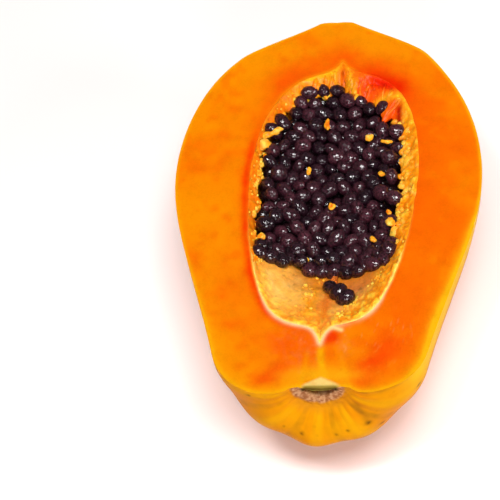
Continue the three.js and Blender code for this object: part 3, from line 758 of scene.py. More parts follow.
def paint_rind(points):
    """
    Yellow-orange rind: yellower ribs and olive furrows that run into the scar, partly painted light and
    shade; a +X flank with painted light and shade; a corky ring; the green underside of the lip and a
    dark crumbly hole, both darkened further by painted shade; and a few dark specks.
    """
    x, y, z = points.T
    radius = np.hypot(x + RING_OFFSET, z)
    stem = y < 0
    cloud = rough(points, 18, 3, 81)
    fine = rough(points, 3.5, 2, 82)
    wander = np.arctan2(-z, x) + 0.05 * noise(points, 14, 84)
    wave = np.cos(RIBS_ROUND * (wander - RIB_CREST))
    close = stem * bell(y - SHOULDER_Y, 30) * smoothstep(radius, 11, 17)
    creases = np.cos(CREASES_ROUND * wander + 2.4 * noise(points, 9, 8))
    # Where the +X flank gets painted light and shade.
    flank = smoothstep(x, 26, 42) * smoothstep(-y, -30, 10)
    halo = stem * (1 - smoothstep(radius, 10.5, 16)) * (0.7 + 0.6 * fine)
    # Marks on the stem end are told by (x, z); 40 mm more keeps them off the other end.
    end_view, other_end = points[:, [0, 2]], 40 * (y > 0)
    furrow = bell(gap_to(end_view, FURROW) + other_end, 1.5) * (0.6 + 0.8 * fine)
    crumbs = rough(points, 0.95, 2, 83)
    cork = stem * smoothstep(radius, 4.8, 6.4) * (1 - smoothstep(radius + 0.8 * fine, 9.6, 11.0))
    corky = blend((170, 108, 66), (224, 168, 120), smoothstep(crumbs, -0.3, 0.4))
    # The hole's tones: its own crumbly colour, darkened further as painted shade.
    hole = stem * (1 - smoothstep(radius, 5.2, 6.6))
    dark = blend((84, 48, 14), (150, 104, 34), smoothstep(crumbs, -0.3, 0.5))
    under_lip = stem * (1 - smoothstep(-z, 2.2, 3.4)) * (1 - smoothstep(np.abs(x + 0.8), 6.4, 8))
    green = blend((78, 56, 18), (170, 150, 62), bell(x + 0.6, 4) * bell(z, 2.2))
    specks = [bell(np.hypot(*(end_view - place).T) + other_end, reach) for place, reach in SPECKS]
    tip = (~stem) * (1 - smoothstep(np.hypot(x - TIP_DRIFT, z), 3, 8))
    return layers(points, (248, 158, 5), [
        (0.6 * smoothstep(cloud, 0, 0.5), (253, 174, 6)),
        (0.6 * smoothstep(-cloud, 0, 0.5), (242, 136, 6)),
        (0.3 * smoothstep(fine, 0.1, 0.5), (236, 146, 8)),
        # Ribs: the yellower crests and olive furrows are partly the rind's own colour, partly painted light
        # on the crests and painted shade in the furrows and fine creases.
        (0.5 * close * smoothstep(wave, 0.3, 1), (254, 184, 8)),
        (0.5 * close * smoothstep(-wave, 0.7, 1) * (0.8 + fine), (188, 126, 14)),
        (0.18 * close * bell(radius, 30) * smoothstep(-creases, 0.4, 1), (206, 136, 12)),
        # Painted light on the +X flank: much lighter yellow near the cut, where the light from the right
        # falls, and a duller tan lower down as painted shade.
        (0.9 * flank * smoothstep(z, -16, -2), 1.2 * tone(255, 204, 36)),
        (0.6 * flank * smoothstep(-z, 9, 20), 1.05 * tone(244, 168, 78)),
        (0.6 * halo, (200, 132, 34)),
        (0.6 * furrow, (150, 100, 20)),
        (cork, corky),
        # The hole and the lip's underside: crumbly and green tissue, darkened further as painted shade
        # inside the hole.
        (hole, dark),
        (under_lip * smoothstep(-y, 93.5, 94.5), green),
        *[(0.9 * speck, (60, 38, 10)) for speck in specks],
        (0.8 * tip, (150, 104, 40)),
    ])


kind_of_point = np.zeros(len(fruit_points), int)
for kind, faces in ((2, hollow_faces), (1, cut_faces), (0, skin_faces)):
    kind_of_point[np.searchsorted(fruit_used, np.unique(faces))] = kind
fruit_tint = np.zeros((len(fruit_points), 3))
on_skin, on_cut, in_hollow = (kind_of_point == kind for kind in range(3))
fruit_tint[on_skin] = RIND_GAIN * paint_rind(fruit_points[on_skin])
fruit_tint[on_cut] = paint_cut(fruit_points[on_cut], skin_gap[on_cut], rim_gap[on_cut])
fruit_tint[in_hollow] = paint_hollow(fruit_points[in_hollow], rim_gap[in_hollow])
# Painted light: the hollow's tones are made lighter, as less light falls in.
fruit_tint[in_hollow] *= hollow_gain(fruit_points[in_hollow])
fruit.data.polygons.foreach_set("material_index", face_kind.astype(np.int32))
print("painted", on_skin.sum(), on_cut.sum(), in_hollow.sum(), "points")

# %% [markdown]
# ## Materials
# Every material takes its large colours from the vertices and adds what is too fine for a mesh:
# pores, fibres, grains and their tiny shadows. Object coordinates keep those patterns fixed to the
# fruit. Wet flesh lets light in, so it gets some subsurface scattering.

# %% Node helpers


def add_node(tree, kind, settings=(), **inputs):
    """A node with its settings, and its inputs set to values or linked to other nodes' outputs."""
    node = tree.nodes.new("ShaderNode" + kind)
    for name, value in dict(settings).items():
        setattr(node, name, value)
    for name, value in inputs.items():
        socket = node.inputs[int(name[1:]) if name[0] == "_" else name.replace("_", " ")]
        if isinstance(value, bpy.types.NodeSocket):
            tree.links.new(value, socket)
        else:
            socket.default_value = value
    return node


def start_material(name, **constants):
    """A material whose Principled shader has its constants set right on its own sockets."""
    material = bpy.data.materials.new(name)
    material.use_nodes = True
    tree = material.node_tree
    shader = tree.nodes["Principled BSDF"]
    for key, value in constants.items():
        shader.inputs[key.replace("_", " ")].default_value = value
    return material, tree, add_node(tree, "TexCoord").outputs["Object"]


def link(tree, value, socket):
    """Lets a value drive a socket of the shader."""
    tree.links.new(value, tree.nodes["Principled BSDF"].inputs[socket])


def pattern(tree, kind, place, scale, **inputs):
    """Value of a Noise or Voronoi texture that is fixed to the piece."""
    return add_node(tree, "Tex" + kind, Vector=place, Scale=scale, **inputs).outputs[0]


def span(tree, value, low, high, lowest, highest):
    """Maps a value from the range low to high to the range lowest to highest."""
    return add_node(tree, "MapRange", _0=value, _1=low, _2=high, _3=lowest, _4=highest).outputs[0]


def shade(tree, *factors):
    """Base colour: the tint kept on the vertices, made darker or lighter by some factors."""
    product = factors[0]
    for factor in factors[1:]:
        product = add_node(tree, "Math", {"operation": "MULTIPLY"}, _0=product, _1=factor).outputs[0]
    tint = add_node(tree, "Attribute", {"attribute_name": "tint"}).outputs["Color"]
    scaled = add_node(tree, "VectorMath", {"operation": "SCALE"}, _0=tint, _3=product)
    link(tree, scaled.outputs[0], "Base Color")


def bump(tree, height, distance, strength, socket="Normal"):
    """Small shadows from a height value; the distance in metres is the height of the relief."""
    node = add_node(tree, "Bump", Height=height, Distance=distance, Strength=strength)
    link(tree, node.outputs[0], socket)


# %% Rind
rind, tree, place = start_material("papaya_rind", Roughness=0.42, Specular_IOR_Level=0.01)
pores = pattern(tree, "Noise", place, 900.0, Detail=3.0)
mottle = pattern(tree, "Noise", place, 160.0, Detail=4.0)
dots = pattern(tree, "Voronoi", place, 150.0)
specks = pattern(tree, "Voronoi", place, 52.0, Randomness=1.0)
shade(
    tree, span(tree, mottle, 0.3, 0.7, 0.93, 1.05), span(tree, dots, 0.05, 0.16, 0.9, 1.0),
    span(tree, specks, 0.035, 0.06, 0.45, 1.0),
)
bump(tree, pores, 0.00012, 0.6)

# %% Cut flesh
flesh, tree, place = start_material(
    "papaya_cut_flesh", Roughness=0.45, Specular_IOR_Level=0.015, Subsurface_Weight=0.14,
    Subsurface_Radius=(1.0, 0.35, 0.08), Subsurface_Scale=0.003,
)
cells = pattern(tree, "Noise", place, 1100.0, Detail=3.0)
clouds = pattern(tree, "Noise", place, 130.0, Detail=5.0, Roughness=0.6)
shade(tree, span(tree, clouds, 0.3, 0.7, 0.93, 1.06), span(tree, cells, 0.3, 0.7, 0.96, 1.04))
bump(tree, cells, 0.0001, 0.5)

# %% Pulp of the hollow
pulp, tree, place = start_material(
    "papaya_pulp", Roughness=0.3, Specular_IOR_Level=0.12, Subsurface_Weight=0.4,
    Subsurface_Radius=(1.0, 0.4, 0.1), Subsurface_Scale=0.002,
)
grains = pattern(tree, "Voronoi", place, 620.0)
lumps = pattern(tree, "Noise", place, 420.0, Detail=5.0, Roughness=0.65)
shade(tree, span(tree, lumps, 0.3, 0.7, 0.8, 1.12), span(tree, grains, 0.0, 0.9, 1.08, 0.86))
bump(tree, lumps, 0.0006, 0.5)
dress(fruit, fruit_tint, rind, flesh, pulp)

# %% [markdown]
# ## The skin of the seeds
# A fresh papaya seed is almost black, wrinkled, and wrapped in a film of wet jelly. One smooth
# glossy surface would show each lamp as a round white dot. Here the dark skin is rough, and the
# film is a clear coat over it that swells slowly and is missing in the wrinkles, so that every
# glint breaks up into small pieces.

# %% Seed skin
seed_skin, tree, place = start_material(
    "papaya_seed_skin", Roughness=0.5, Specular_IOR_Level=0.1, Specular_Tint=(1.0, 0.8, 0.84, 1),
    Coat_Roughness=0.04, Coat_IOR=1.6, Coat_Tint=(1.0, 0.86, 0.97, 1),
)
wrinkles = pattern(tree, "Noise", place, 1200.0, Detail=2.0, Roughness=0.6)
pits = pattern(tree, "Voronoi", place, 1500.0)
height = add_node(tree, "Math", {"operation": "MULTIPLY_ADD"}, _0=pits, _1=0.4, _2=wrinkles).outputs[0]
# Base colour: darker in the wrinkles as painted shade, and up to twice as light on the raised grain as
# painted sheen.
shade(tree, span(tree, height, 0.52, 0.84, 0.15, 2.2))
bump(tree, height, 0.0008, 0.9)
link(tree, span(tree, height, 0.6, 0.72, 0.0, 1.0), "Coat Weight")
swells = pattern(tree, "Noise", place, 800.0, Detail=2.0)
bump(tree, swells, 0.0004, 0.7, "Coat Normal")
print("materials", [material.name for material in bpy.data.materials])

# %% [markdown]
# ## The seeds
# Papaya seeds are pea-sized grains in a wrinkled wet skin. They could be dropped by the physics
# engine, but the solid part already says where the heap lies. So the same rule is repeated here:
# a jittered grid, pushed apart until no two seeds crowd, then lifted onto a dished surface. A
# second layer, painted darker as the shade between the seeds above, fills the gaps between them,
# over a bed of pulp painted near black as the shade under the heap.

# %% Where the seeds lie
SEED_HALF_LENGTH = 3.7
SEED_HALF_WIDTH = 3.3
SEED_SIZES = (0.84, 1.16)
SEED_PITCH = 6.5
SEED_JITTER = 3.6
SEED_LIFT = 2.8
SEED_CLOSEST = 6.2
UNDER_DEPTH = 5.4
UNDER_CLOSEST = 5.4
SETTLING_PASSES, PUSH, PULL = 30, 0.3, 0.25
GRID_ROWS, GRID_COLUMNS = slice(-9, 13), slice(-7, 8)
HEAP_RIM_DEPTH = 5.2
HEAP_DISH = 7.6
HEAP_MARGIN, HEAP_MARGIN_LEFT, HEAP_MARGIN_RIGHT = 4.2, 4.6, 9.5
HEAP_BAY_MARGIN, HEAP_BAY_TURN, HEAP_BAY_SHARPNESS = 3.5, math.radians(70), 24
HEAP_NEAR_Y = -32.6
HEAP_NEAR_SKEW = 0.15
HEAP_NEAR_SLOPE = 26
HEAP_NEAR_DROP = 5.8
LYING_HEIGHT = 2.5
STRAY_SEEDS = np.array([(2.3, -44.4), (5.4, -48), (8.4, -52)])
STRAND_ENDS = np.array([(2.4, -44), (3.6, -31)])
STRAND_HALF_WIDTH = 1.4
STRAND_LIFT = 0.7


def heap_edge(turn):
    """Edge of the heap: the rim moved in, more so at the torn bay, and cut by a slanting line."""
    x, y = round_rim(turn)
    x, y = x - MIDDLE_X, y - MIDDLE_Y
    side = np.cos(turn)
    margin = lerp(HEAP_MARGIN, np.where(side > 0, HEAP_MARGIN_RIGHT, HEAP_MARGIN_LEFT), np.abs(side))
    in_bay = np.maximum(0, np.cos(turn - HEAP_BAY_TURN)) ** HEAP_BAY_SHARPNESS
    margin = margin + HEAP_BAY_MARGIN * in_bay
    length = np.hypot(x, y)
    reach = (length - margin) / length
    towards_near = -y - HEAP_NEAR_SKEW * x
    limit = (MIDDLE_Y - HEAP_NEAR_Y) / np.where(towards_near > 0, towards_near, 1)
    reach = np.where(towards_near > 0, np.minimum(reach, limit), reach)
    return MIDDLE_X + x * reach, MIDDLE_Y + y * reach


def wall_height(x, y):
    """Height of the hollow's wall under a place."""
    share, turn = locate(round_rim, x, y)
    return -hollow_depth(np.minimum(share, 1), turn)


def heap_height(share, y):
    """Height of the heap's surface: a dish that sinks towards the bare end."""
    near = smoothstep(HEAP_NEAR_Y + HEAP_NEAR_SLOPE - y, 0, HEAP_NEAR_SLOPE)
    return -HEAP_RIM_DEPTH - HEAP_DISH * (1 - share**2) * (1 - near) - HEAP_NEAR_DROP * near


def seed_grid(jitter, offset=0.0):
    """Rows of a triangular grid, each point moved by chance, kept where it lies in the heap."""
    row, column = (axis.ravel() for axis in np.mgrid[GRID_ROWS, GRID_COLUMNS])
    number = (row + 20) * 40 + column + 20
    x = (column + np.where(row % 2 != 0, 0.5, 0)) * SEED_PITCH + jitter * (chance(number, 1) - 0.5)
    y = MIDDLE_Y + row * SEED_PITCH * math.sqrt(0.75) + jitter * (chance(number, 2) - 0.5)
    x, y = x + offset, y + offset
    inside = locate(heap_edge, x, y)[0] < 1
    return np.stack([x[inside], y[inside], np.zeros(inside.sum())], 1)


def seed_size(number):
    """Size as a share of the usual seed."""
    return lerp(*SEED_SIZES, chance(number, 4))


def settle(seeds, lift, fixed, closest):
    """Passes of pushing crowded seeds apart and pulling them back to the heap's surface."""
    seeds[:, 2] = heap_height(locate(heap_edge, *seeds[:, :2].T)[0], seeds[:, 1]) + lift
    for _ in range(SETTLING_PASSES):
        every = np.concatenate([seeds, fixed])
        push = seeds[:, None] - every[None]
        apart = np.linalg.norm(push, axis=-1)
        crowded = (apart < closest) & (np.arange(len(every)) != np.arange(len(seeds))[:, None])
        force = np.where(crowded, PUSH * (closest - apart) / np.maximum(apart, 1e-6), 0)
        seeds = seeds + (force[..., None] * push).sum(1)
        share, _ = locate(heap_edge, seeds[:, 0], seeds[:, 1])
        pull = np.where(share > 1, share, 1)[:, None]
        seeds[:, :2] = middle[:2] + (seeds[:, :2] - middle[:2]) / pull
        wanted = heap_height(np.minimum(share, 1), seeds[:, 1]) + lift
        lying = wall_height(seeds[:, 0], seeds[:, 1]) + LYING_HEIGHT
        seeds[:, 2] = np.maximum(lerp(seeds[:, 2], wanted, PULL), lying)
    return seeds


top = seed_grid(SEED_JITTER)
lift = SEED_LIFT * (chance(np.arange(len(top)), 3) - 0.5)
top_size = seed_size(np.arange(len(top)))
pair_size = (top_size[:, None] + top_size[None, :]) / 2
top = settle(top, lift, np.zeros((0, 3)), SEED_CLOSEST * pair_size)
stray = np.column_stack([STRAY_SEEDS, wall_height(*STRAY_SEEDS.T) + LYING_HEIGHT])
under = settle(seed_grid(1, SEED_PITCH / 2), -UNDER_DEPTH, top, UNDER_CLOSEST)
print("seeds", len(top), "on top,", len(stray), "strays,", len(under), "under them")

# %% Shape of the seeds
SEED_ROWS, SEED_SIDES = 8, 12
SEED_EGG = 0.13
SEED_SLIM = (0.86, 1.03)
SEED_DENTS, SEED_DENT_SIZE = 0.09, 2.4
SEED_TILT = np.radians(50)


def lump_grid(rows, sides):
    """Directions on a ball: rows from pole to pole along Y, each row a ring."""
    polar = np.linspace(0, math.pi, rows + 1)[:, None]
    round_turn = np.linspace(0, 2 * math.pi, sides, endpoint=False)[None, :]
    across = np.sin(polar)
    return np.stack([
        across * np.cos(round_turn), np.cos(polar) * np.ones_like(round_turn), across * np.sin(round_turn)
    ], -1)


def lump_faces(rows, sides, count):
    """Quads of many equal balls; the ring at each pole is one shared point."""
    ids = np.arange((rows + 1) * sides).reshape(rows + 1, sides)
    ids[0], ids[-1] = ids[0, 0], ids[-1, 0]
    offsets = np.arange(count)[:, None, None] * ids.size
    return (quads(ids, True) + offsets).reshape(-1, 4)


def turned(points, tilt, swing):
    """Points turned by tilt about X and then by swing about Z, one pair of angles per lump."""
    c, s = np.cos(tilt)[:, None, None], np.sin(tilt)[:, None, None]
    x, y, z = points[..., 0], points[..., 1], points[..., 2]
    y, z = c * y - s * z, s * y + c * z
    c, s = np.cos(swing)[:, None, None], np.sin(swing)[:, None, None]
    return np.stack([c * x - s * y, s * x + c * y, z], -1)


def numbered(count, first=0):
    """Numbers from which chance draws for a set of lumps; each set starts at another number."""
    return np.arange(count).astype(float) + first


def joined(lumps):
    """Points and outward faces of a set of lumps, which grid points they are, and whose."""
    count, rows, sides = lumps.shape[:3]
    points, faces, used = compact(lumps.reshape(-1, 3), lump_faces(rows - 1, sides, count))
    return points, outward(points, faces), used, used // (rows * sides)


def seed_shapes(number):
    """
    Egg-shaped grains: half width times sine, a little fuller towards one end, with slow dents.
    Size and slimness differ from seed to seed.
    """
    ball = lump_grid(SEED_ROWS, SEED_SIDES)[None]
    size = seed_size(number)[:, None, None, None]
    slim = lerp(*SEED_SLIM, chance(number, 7))[:, None, None, None]
    egg = 1 + SEED_EGG * ball[..., 1:2]
    grain = ball * [SEED_HALF_WIDTH, SEED_HALF_LENGTH, SEED_HALF_WIDTH] * size
    grain = grain * np.concatenate([egg * slim, np.ones_like(egg) / slim, egg * slim], -1)
    dents = noise(grain + 40.0 * number[:, None, None, None], SEED_DENT_SIZE, 5)
    grain = grain * (1 + SEED_DENTS * dents[..., None])
    tilt = lerp(-SEED_TILT, SEED_TILT, chance(number, 5))
    swing = lerp(-math.pi / 2, math.pi / 2, chance(number, 6))
    return turned(grain, tilt, swing)


middles = np.concatenate([top, stray, under])
numbers = numbered(len(middles))
grains = seed_shapes(numbers) + middles[:, None, None]
seed_points, seed_faces, _, owner = joined(grains)
seed_tint = blend((26, 7, 17), (66, 30, 38), chance(numbers, 8)[owner] ** 1.3)
# The under layer is painted dark as the shade between the seeds above it, except where it shows at the
# heap's open edge.
under_shade = lerp(0.25, 0.9, smoothstep(-seed_points[:, 1], 18, 30))
seed_tint = seed_tint * np.where(owner < len(top) + len(stray), 1, under_shade)[:, None]
dress(mesh_piece("papaya_seeds", seed_points, seed_faces, ["seeds"]), seed_tint, seed_skin)

# %% Bed under the seeds
BED_ROWS, BED_SIDES = 24, 72
BED_SHARE = 0.97
BED_DEPTH = 5.5
BED_CLEARANCE = 0.4
STRAND_GRID = (16, 10)
bed_turns = np.linspace(0, 2 * math.pi, BED_SIDES, endpoint=False)
bed_shares = np.linspace(1, 0, BED_ROWS + 1)[:, None]
edge_x, edge_y = heap_edge(bed_turns)
bed_x = MIDDLE_X + (edge_x - MIDDLE_X) * BED_SHARE * bed_shares
bed_y = MIDDLE_Y + (edge_y - MIDDLE_Y) * BED_SHARE * bed_shares
bed_low = wall_height(bed_x, bed_y) + BED_CLEARANCE
bed_high = np.maximum(heap_height(bed_shares, bed_y) - BED_DEPTH, bed_low + BED_CLEARANCE)
bed_top = np.stack([bed_x, bed_y, bed_high], -1)
bed_top[..., 2] += 0.5 * rough(bed_top, 4, 2, 91) * np.minimum(bed_high - bed_low - BED_CLEARANCE, 1)
rows = np.concatenate([np.stack([bed_x, bed_y, bed_low], -1)[::-1], bed_top])
bed_ids = np.arange(rows.size // 3).reshape(rows.shape[:2])
bed_ids[0], bed_ids[-1] = bed_ids[0, 0], bed_ids[-1, 0]

near_end, far_end = np.column_stack([STRAND_ENDS, wall_height(*STRAND_ENDS.T) + STRAND_LIFT])
reach = np.linalg.norm(far_end - near_end)
tilt, swing = np.arcsin((far_end - near_end)[2] / reach), np.arctan2(*(near_end - far_end)[:2] * [1, -1])
strand = lump_grid(*STRAND_GRID)[None] * [STRAND_HALF_WIDTH, reach / 2, STRAND_HALF_WIDTH]
strand = strand * (1 + 0.22 * noise(strand, 1.9, 92))[..., None]
strand = turned(strand, np.array([tilt]), np.array([swing])) + (near_end + far_end) / 2
bed_points, bed_faces, bed_used = compact(
    np.concatenate([rows.reshape(-1, 3), strand.reshape(-1, 3)]),
    np.concatenate([quads(bed_ids, True), lump_faces(*STRAND_GRID, 1) + bed_ids.size]),
)
bed_faces = outward(bed_points, bed_faces)
bed = mesh_piece("papaya_seed_bed", bed_points, bed_faces, ["seeds"], 50)
on_strand = bed_used[:, None] >= bed_ids.size
# The bed is painted near black as the shade under the heap; the strand on it gets the hollow's painted
# light.
dress(bed, np.where(on_strand, HOLLOW_LIGHT_GAIN * tone(206, 112, 34), tone(40, 12, 11)), seed_skin)

# %% [markdown]
# ## Pulp along the wall
# The seeds were attached to a soft lining. Where they came off, it slopes from the rim down to the
# heap as a bright granular band, and at the blossom end the knife tore it into folds and strands.
# A bump map could fake that from one side only. Here the lining is a closed sheet that runs along
# the rim, its ridges worked out from noise, and lumps and strands are set on it by repeatable
# chance. Larger irregular bits lie between the seeds.

# %% The lining
LINING_FROM, LINING_TO = math.radians(-64), math.radians(244)
LINING_COLUMNS, LINING_ROWS = 640, 26
LINING_DROP = 5.6
LINING_THICKNESS = 1.6
LINING_START = 0.3
LINING_WIDTH, LINING_WIDTH_LEFT, LINING_WIDTH_IN_BAY = 8.4, 3.5, 4.6


def rim_place(turn):
    """Point of the rim on the plane of the cut."""
    x, y = round_rim(turn)
    return np.stack([x, y + rim_point(turn), 0 * x], -1)


lining_turns = np.linspace(LINING_FROM, LINING_TO, 3000)
rim_lengths = running(np.linalg.norm(np.diff(rim_place(lining_turns), axis=0), axis=1))


def zones(along):
    """Weights of the torn far end and of the -X side, and the lining's width in mm."""
    angle = np.degrees(np.interp(along, rim_lengths, lining_turns))
    far = window(angle, (34, 50), (104, 126))
    bay = window(angle, (34, 52), (78, 90))
    left = smoothstep(angle, 104, 140)
    ends = window(angle, (-64, -44), (222, 243))
    width = lerp(LINING_WIDTH, LINING_WIDTH_LEFT, left) + LINING_WIDTH_IN_BAY * bay
    width = width + 1.2 * bell(angle - 91, 9)
    return far, left, 0.4 + ends * width


def lining_point(along, inwards):
    """
    Top of the lining: from the rim inwards by a share of its ragged width, falling with that
    share. It has folds across the rim and a gash at the far end, and rounded lobes elsewhere.
    """
    turn = np.interp(along, rim_lengths, lining_turns)
    far, left, width = zones(along)
    lane = np.stack([along, 0 * along, 0 * along], -1)
    ragged = 0.9 + lerp(0.36, 0.7, left) * noise(lane, 4.3, 51) + 0.14 * noise(lane, 1.7, 52)
    ragged = np.maximum(ragged, 0.25)
    depth = inwards * width * ragged
    start = rim_place(turn)
    point = start + unit(middle - [0, 6, 0] - start) * (depth - LINING_START)[..., None]
    bend = depth * (0.16 + 0.22 * noise(lane, 9, 59))
    fibre = np.stack([along / 5.2 + bend, depth / 12, 0 * along], -1)
    folds = 0.9 * rough(fibre, 1.0, 3, 53) + 0.9 * noise(point, 4.5, 54)
    flat = point * [1, 1, 0]
    folds = folds - 1.8 * bell(gap_to(point.reshape(-1, 3), GASH), 2).reshape(far.shape)
    lobes = 1.3 * noise(flat, 4.2, 56) * smoothstep(inwards, 0.3, 0.8)
    lobes = lobes + lerp(0.9, 0.35, left) * (np.abs(rough(flat, 2.6, 2, 55)) * 2 - 0.5)
    ridge = lerp(lobes, folds, far)
    point[..., 2] = -0.12 - LINING_DROP * inwards**1.35 + ridge * smoothstep(inwards, 0, 0.3)
    point[..., 2] = np.minimum(point[..., 2], -0.1)
    return point, ridge


lining_along = np.linspace(0, rim_lengths[-1], LINING_COLUMNS)[None, :] * np.ones((LINING_ROWS, 1))
lining_in = np.linspace(0, 1, LINING_ROWS)[:, None] * np.ones((1, LINING_COLUMNS))
lining_top, lining_ridge = lining_point(lining_along, lining_in)
lining_low = lining_top - [0, 0, LINING_THICKNESS]
lining_low[-1, :, 2] = lining_top[-1, :, 2] - 0.3
sheet = np.concatenate([lining_top, lining_low[::-1]])
sheet_ids = np.arange(sheet.size // 3).reshape(sheet.shape[:2])
# Each end of the sheet is capped between its upper and its lower side.
ends = sheet_ids[:, [0, -1]].T
first_cap, last_cap = (
    quads(np.stack([end[:LINING_ROWS], end[:LINING_ROWS - 1:-1]]), False) for end in ends
)
sheet_faces = np.concatenate([quads(sheet_ids.T, True), first_cap[:, ::-1], last_cap])
sheet_points = sheet.reshape(-1, 3)
sheet_faces = outward(sheet_points, sheet_faces)
print("lining", round(volume(sheet_points, sheet_faces), 2), "cm3")

# %% Strands at the torn end
STRAND_COUNT, STRAND_ROWS, STRAND_SIDES = 34, 16, 8
strand_number = numbered(STRAND_COUNT, 9000)
first_strand, last_strand = np.interp(np.radians([44, 120]), lining_turns, rim_lengths)
strand_from = lerp(first_strand, last_strand, chance(strand_number, 1))
start_in = lerp(0.02, 0.5, chance(strand_number, 2) ** 1.5)
end_in = start_in + lerp(0.35, 0.9, chance(strand_number, 3))
lean_over = 7 * (chance(strand_number, 4) - 0.3)
t = np.linspace(0, 1, STRAND_ROWS)[None, :]
strand_in = np.clip(lerp(start_in[:, None], end_in[:, None], t), 0, 1.15)
strand_along = strand_from[:, None] + lean_over[:, None] * t**2
centre, _ = lining_point(strand_along, strand_in)
lifted = chance(strand_number, 5)[:, None] ** 2
centre[..., 2] += -0.1 + 1.2 * lifted * np.sin(math.pi * t)
centre[..., 2] = np.minimum(centre[..., 2], -0.7)
heading = unit(np.gradient(centre, axis=1))
sideways = unit(np.cross(heading, [0, 0, 1.0]))
upward = np.cross(sideways, heading)
thick = lerp(0.4, 1.5, chance(strand_number, 6) ** 1.5)[:, None]
thick = thick * np.sin(math.pi * (0.03 + 0.94 * t)) ** 0.6
ring = np.linspace(0, 2 * math.pi, STRAND_SIDES, endpoint=False)
strands = (
    centre[:, :, None] + (thick[..., None] * np.cos(ring))[..., None] * sideways[:, :, None]
    + (0.7 * thick[..., None] * np.sin(ring))[..., None] * upward[:, :, None]
)
for end in (0, -1):
    strands[:, end] = strands[:, end].mean(1, keepdims=True)
strand_points, strand_faces, strand_used, strand_owner = joined(strands)

# %% Paint the lining
torn_points = np.concatenate([sheet_points, strand_points])
torn_faces = np.concatenate([sheet_faces, strand_faces + len(sheet_points)])
torn = mesh_piece("papaya_pulp_lining", torn_points, torn_faces, (), 50)


def paint_lining(points, ridge, far, inwards, streak):
    """Yellow lobes with orange between them, and a torn end that is orange-red with a few yellow tongues;
    the crests are lighter and the valleys darker, partly the pulp's colour and partly painted light and
    shade.
    """
    x = points[:, 0]
    patch = rough(points, 5, 2, 57)
    dots = rough(points, 1.8, 2, 58)
    in_bay = smoothstep(x, 9, 14) * (1 - 0.8 * smoothstep(streak, 0.15, 0.5))
    at_rim = smoothstep(x, 8, 14) * (1 - smoothstep(inwards, 0.1, 0.45))
    # At the torn end, yellower crests and red-orange valleys: partly the pulp's colour, partly painted
    # light and shade on the folds.
    torn_colour = layers(points, blend((248, 124, 10), (238, 70, 4), smoothstep(x, 5, 13)), [
        (smoothstep(ridge + 0.5 * streak, -0.6, 0.4), (252, 146, 14)),
        (0.7 * smoothstep(ridge + 0.6 * streak, 0.4, 1.0), (254, 164, 24)),
        (0.75 * in_bay, (248, 84, 5)),
        (0.9 * at_rim, (249, 92, 6)),
    ])
    tongues = blobs(
        points, (1, -5.2, 67, 5.5, 2.4, 25), (1, 2.8, 67.8, 2.2, 4.2, -8), (0.9, 8.4, 66, 1.7, 5, 12)
    )
    gash = gap_to(points, GASH)
    return layers(points, (253, 150, 16), [
        # Yellow on the lobes' crests and orange between them: partly the pulp's colour, partly painted
        # light and shade.
        (0.8 * smoothstep(ridge, 0.0, 0.7), (255, 190, 54)),
        (0.4 * smoothstep(dots, 0.2, 0.6), (255, 206, 92)),
        (0.8 * smoothstep(-ridge, 0.05, 0.7), (244, 118, 8)),
        (0.5 * smoothstep(patch, 0.1, 0.5), (250, 136, 10)),
        (far, torn_colour),
        (0.7 * tongues * (0.9 + 0.6 * dots), (253, 168, 22)),
        (blobs(points, (0.8, 5, 68.6, 2.4, 4, 0)), (236, 96, 5)),
        (blobs(points, (0.8, 5.6, 69, 0.7, 3.2, 0)), (190, 76, 8)),
        (0.8 * bell(gash, 4.4) * smoothstep(x, 9, 14) * (0.9 + 0.6 * streak), (242, 68, 3)),
        (bell(gash, 2.8 + 1.4 * dots) * smoothstep(x, 13, 22), (228, 28, 0)),
        (0.85 * bell(gap_to(points, LOBE), 2.4) * (0.9 + 0.5 * dots), (253, 166, 24)),
        (0.95 * bell(gap_to(points, SLIT), 1.2), (176, 18, 4)),
        (0.6 * (1 - far) * smoothstep(-x, 8, 22) * (1 + dots), (242, 108, 8)),
        (0.35 * smoothstep(inwards, 0.85, 1.0) * (1 - far), (236, 124, 30)),
    ])


def both_sides(upper, on_strands=0.0):
    """Values of the sheet's points, the same above and below, and then those of the strands."""
    return np.concatenate([upper.ravel(), upper[::-1].ravel(), on_strands + np.zeros(len(strand_points))])


ridge = both_sides(lining_ridge, 1.2 * (0.5 - chance(strand_number, 7))[strand_owner])
inner = both_sides(lining_in, strand_in.ravel()[strand_used // STRAND_SIDES])
far = both_sides(zones(lining_along)[0], 1)
lane_bend = 1.2 * noise(np.stack([lining_along, 8 * lining_in, 0 * lining_in], -1), 9, 61)
fibres = rough(np.stack([lining_along / 1.8 + lane_bend, 0.5 * lining_in, 0 * lining_in], -1), 1.0, 3, 60)
lining_tint = paint_lining(torn_points, ridge, far, inner, both_sides(fibres))
# The lining's tones get the hollow's painted light.
dress(torn, hollow_gain(torn_points) * lining_tint, pulp)

# %% Lumps on the lining
LUMP_COUNT, FLOOR_GRAIN_COUNT = 240, 130
ball = lump_grid(7, 10)[None]


def lumps_at(spots, size, number):
    """Uneven balls of a given size round each spot, a different one for each number."""
    key = number[:, None, None, None]
    stretch = np.stack([lerp(0.75, 1.35, chance(number, k)) for k in (21, 22, 23)], -1)[:, None, None]
    grain = ball * stretch * size[:, None, None, None]
    grain = grain * (1 + 0.3 * noise(ball * 1.6 + 17 * key, 1.3, 7))[..., None]
    return grain + spots[:, None, None]


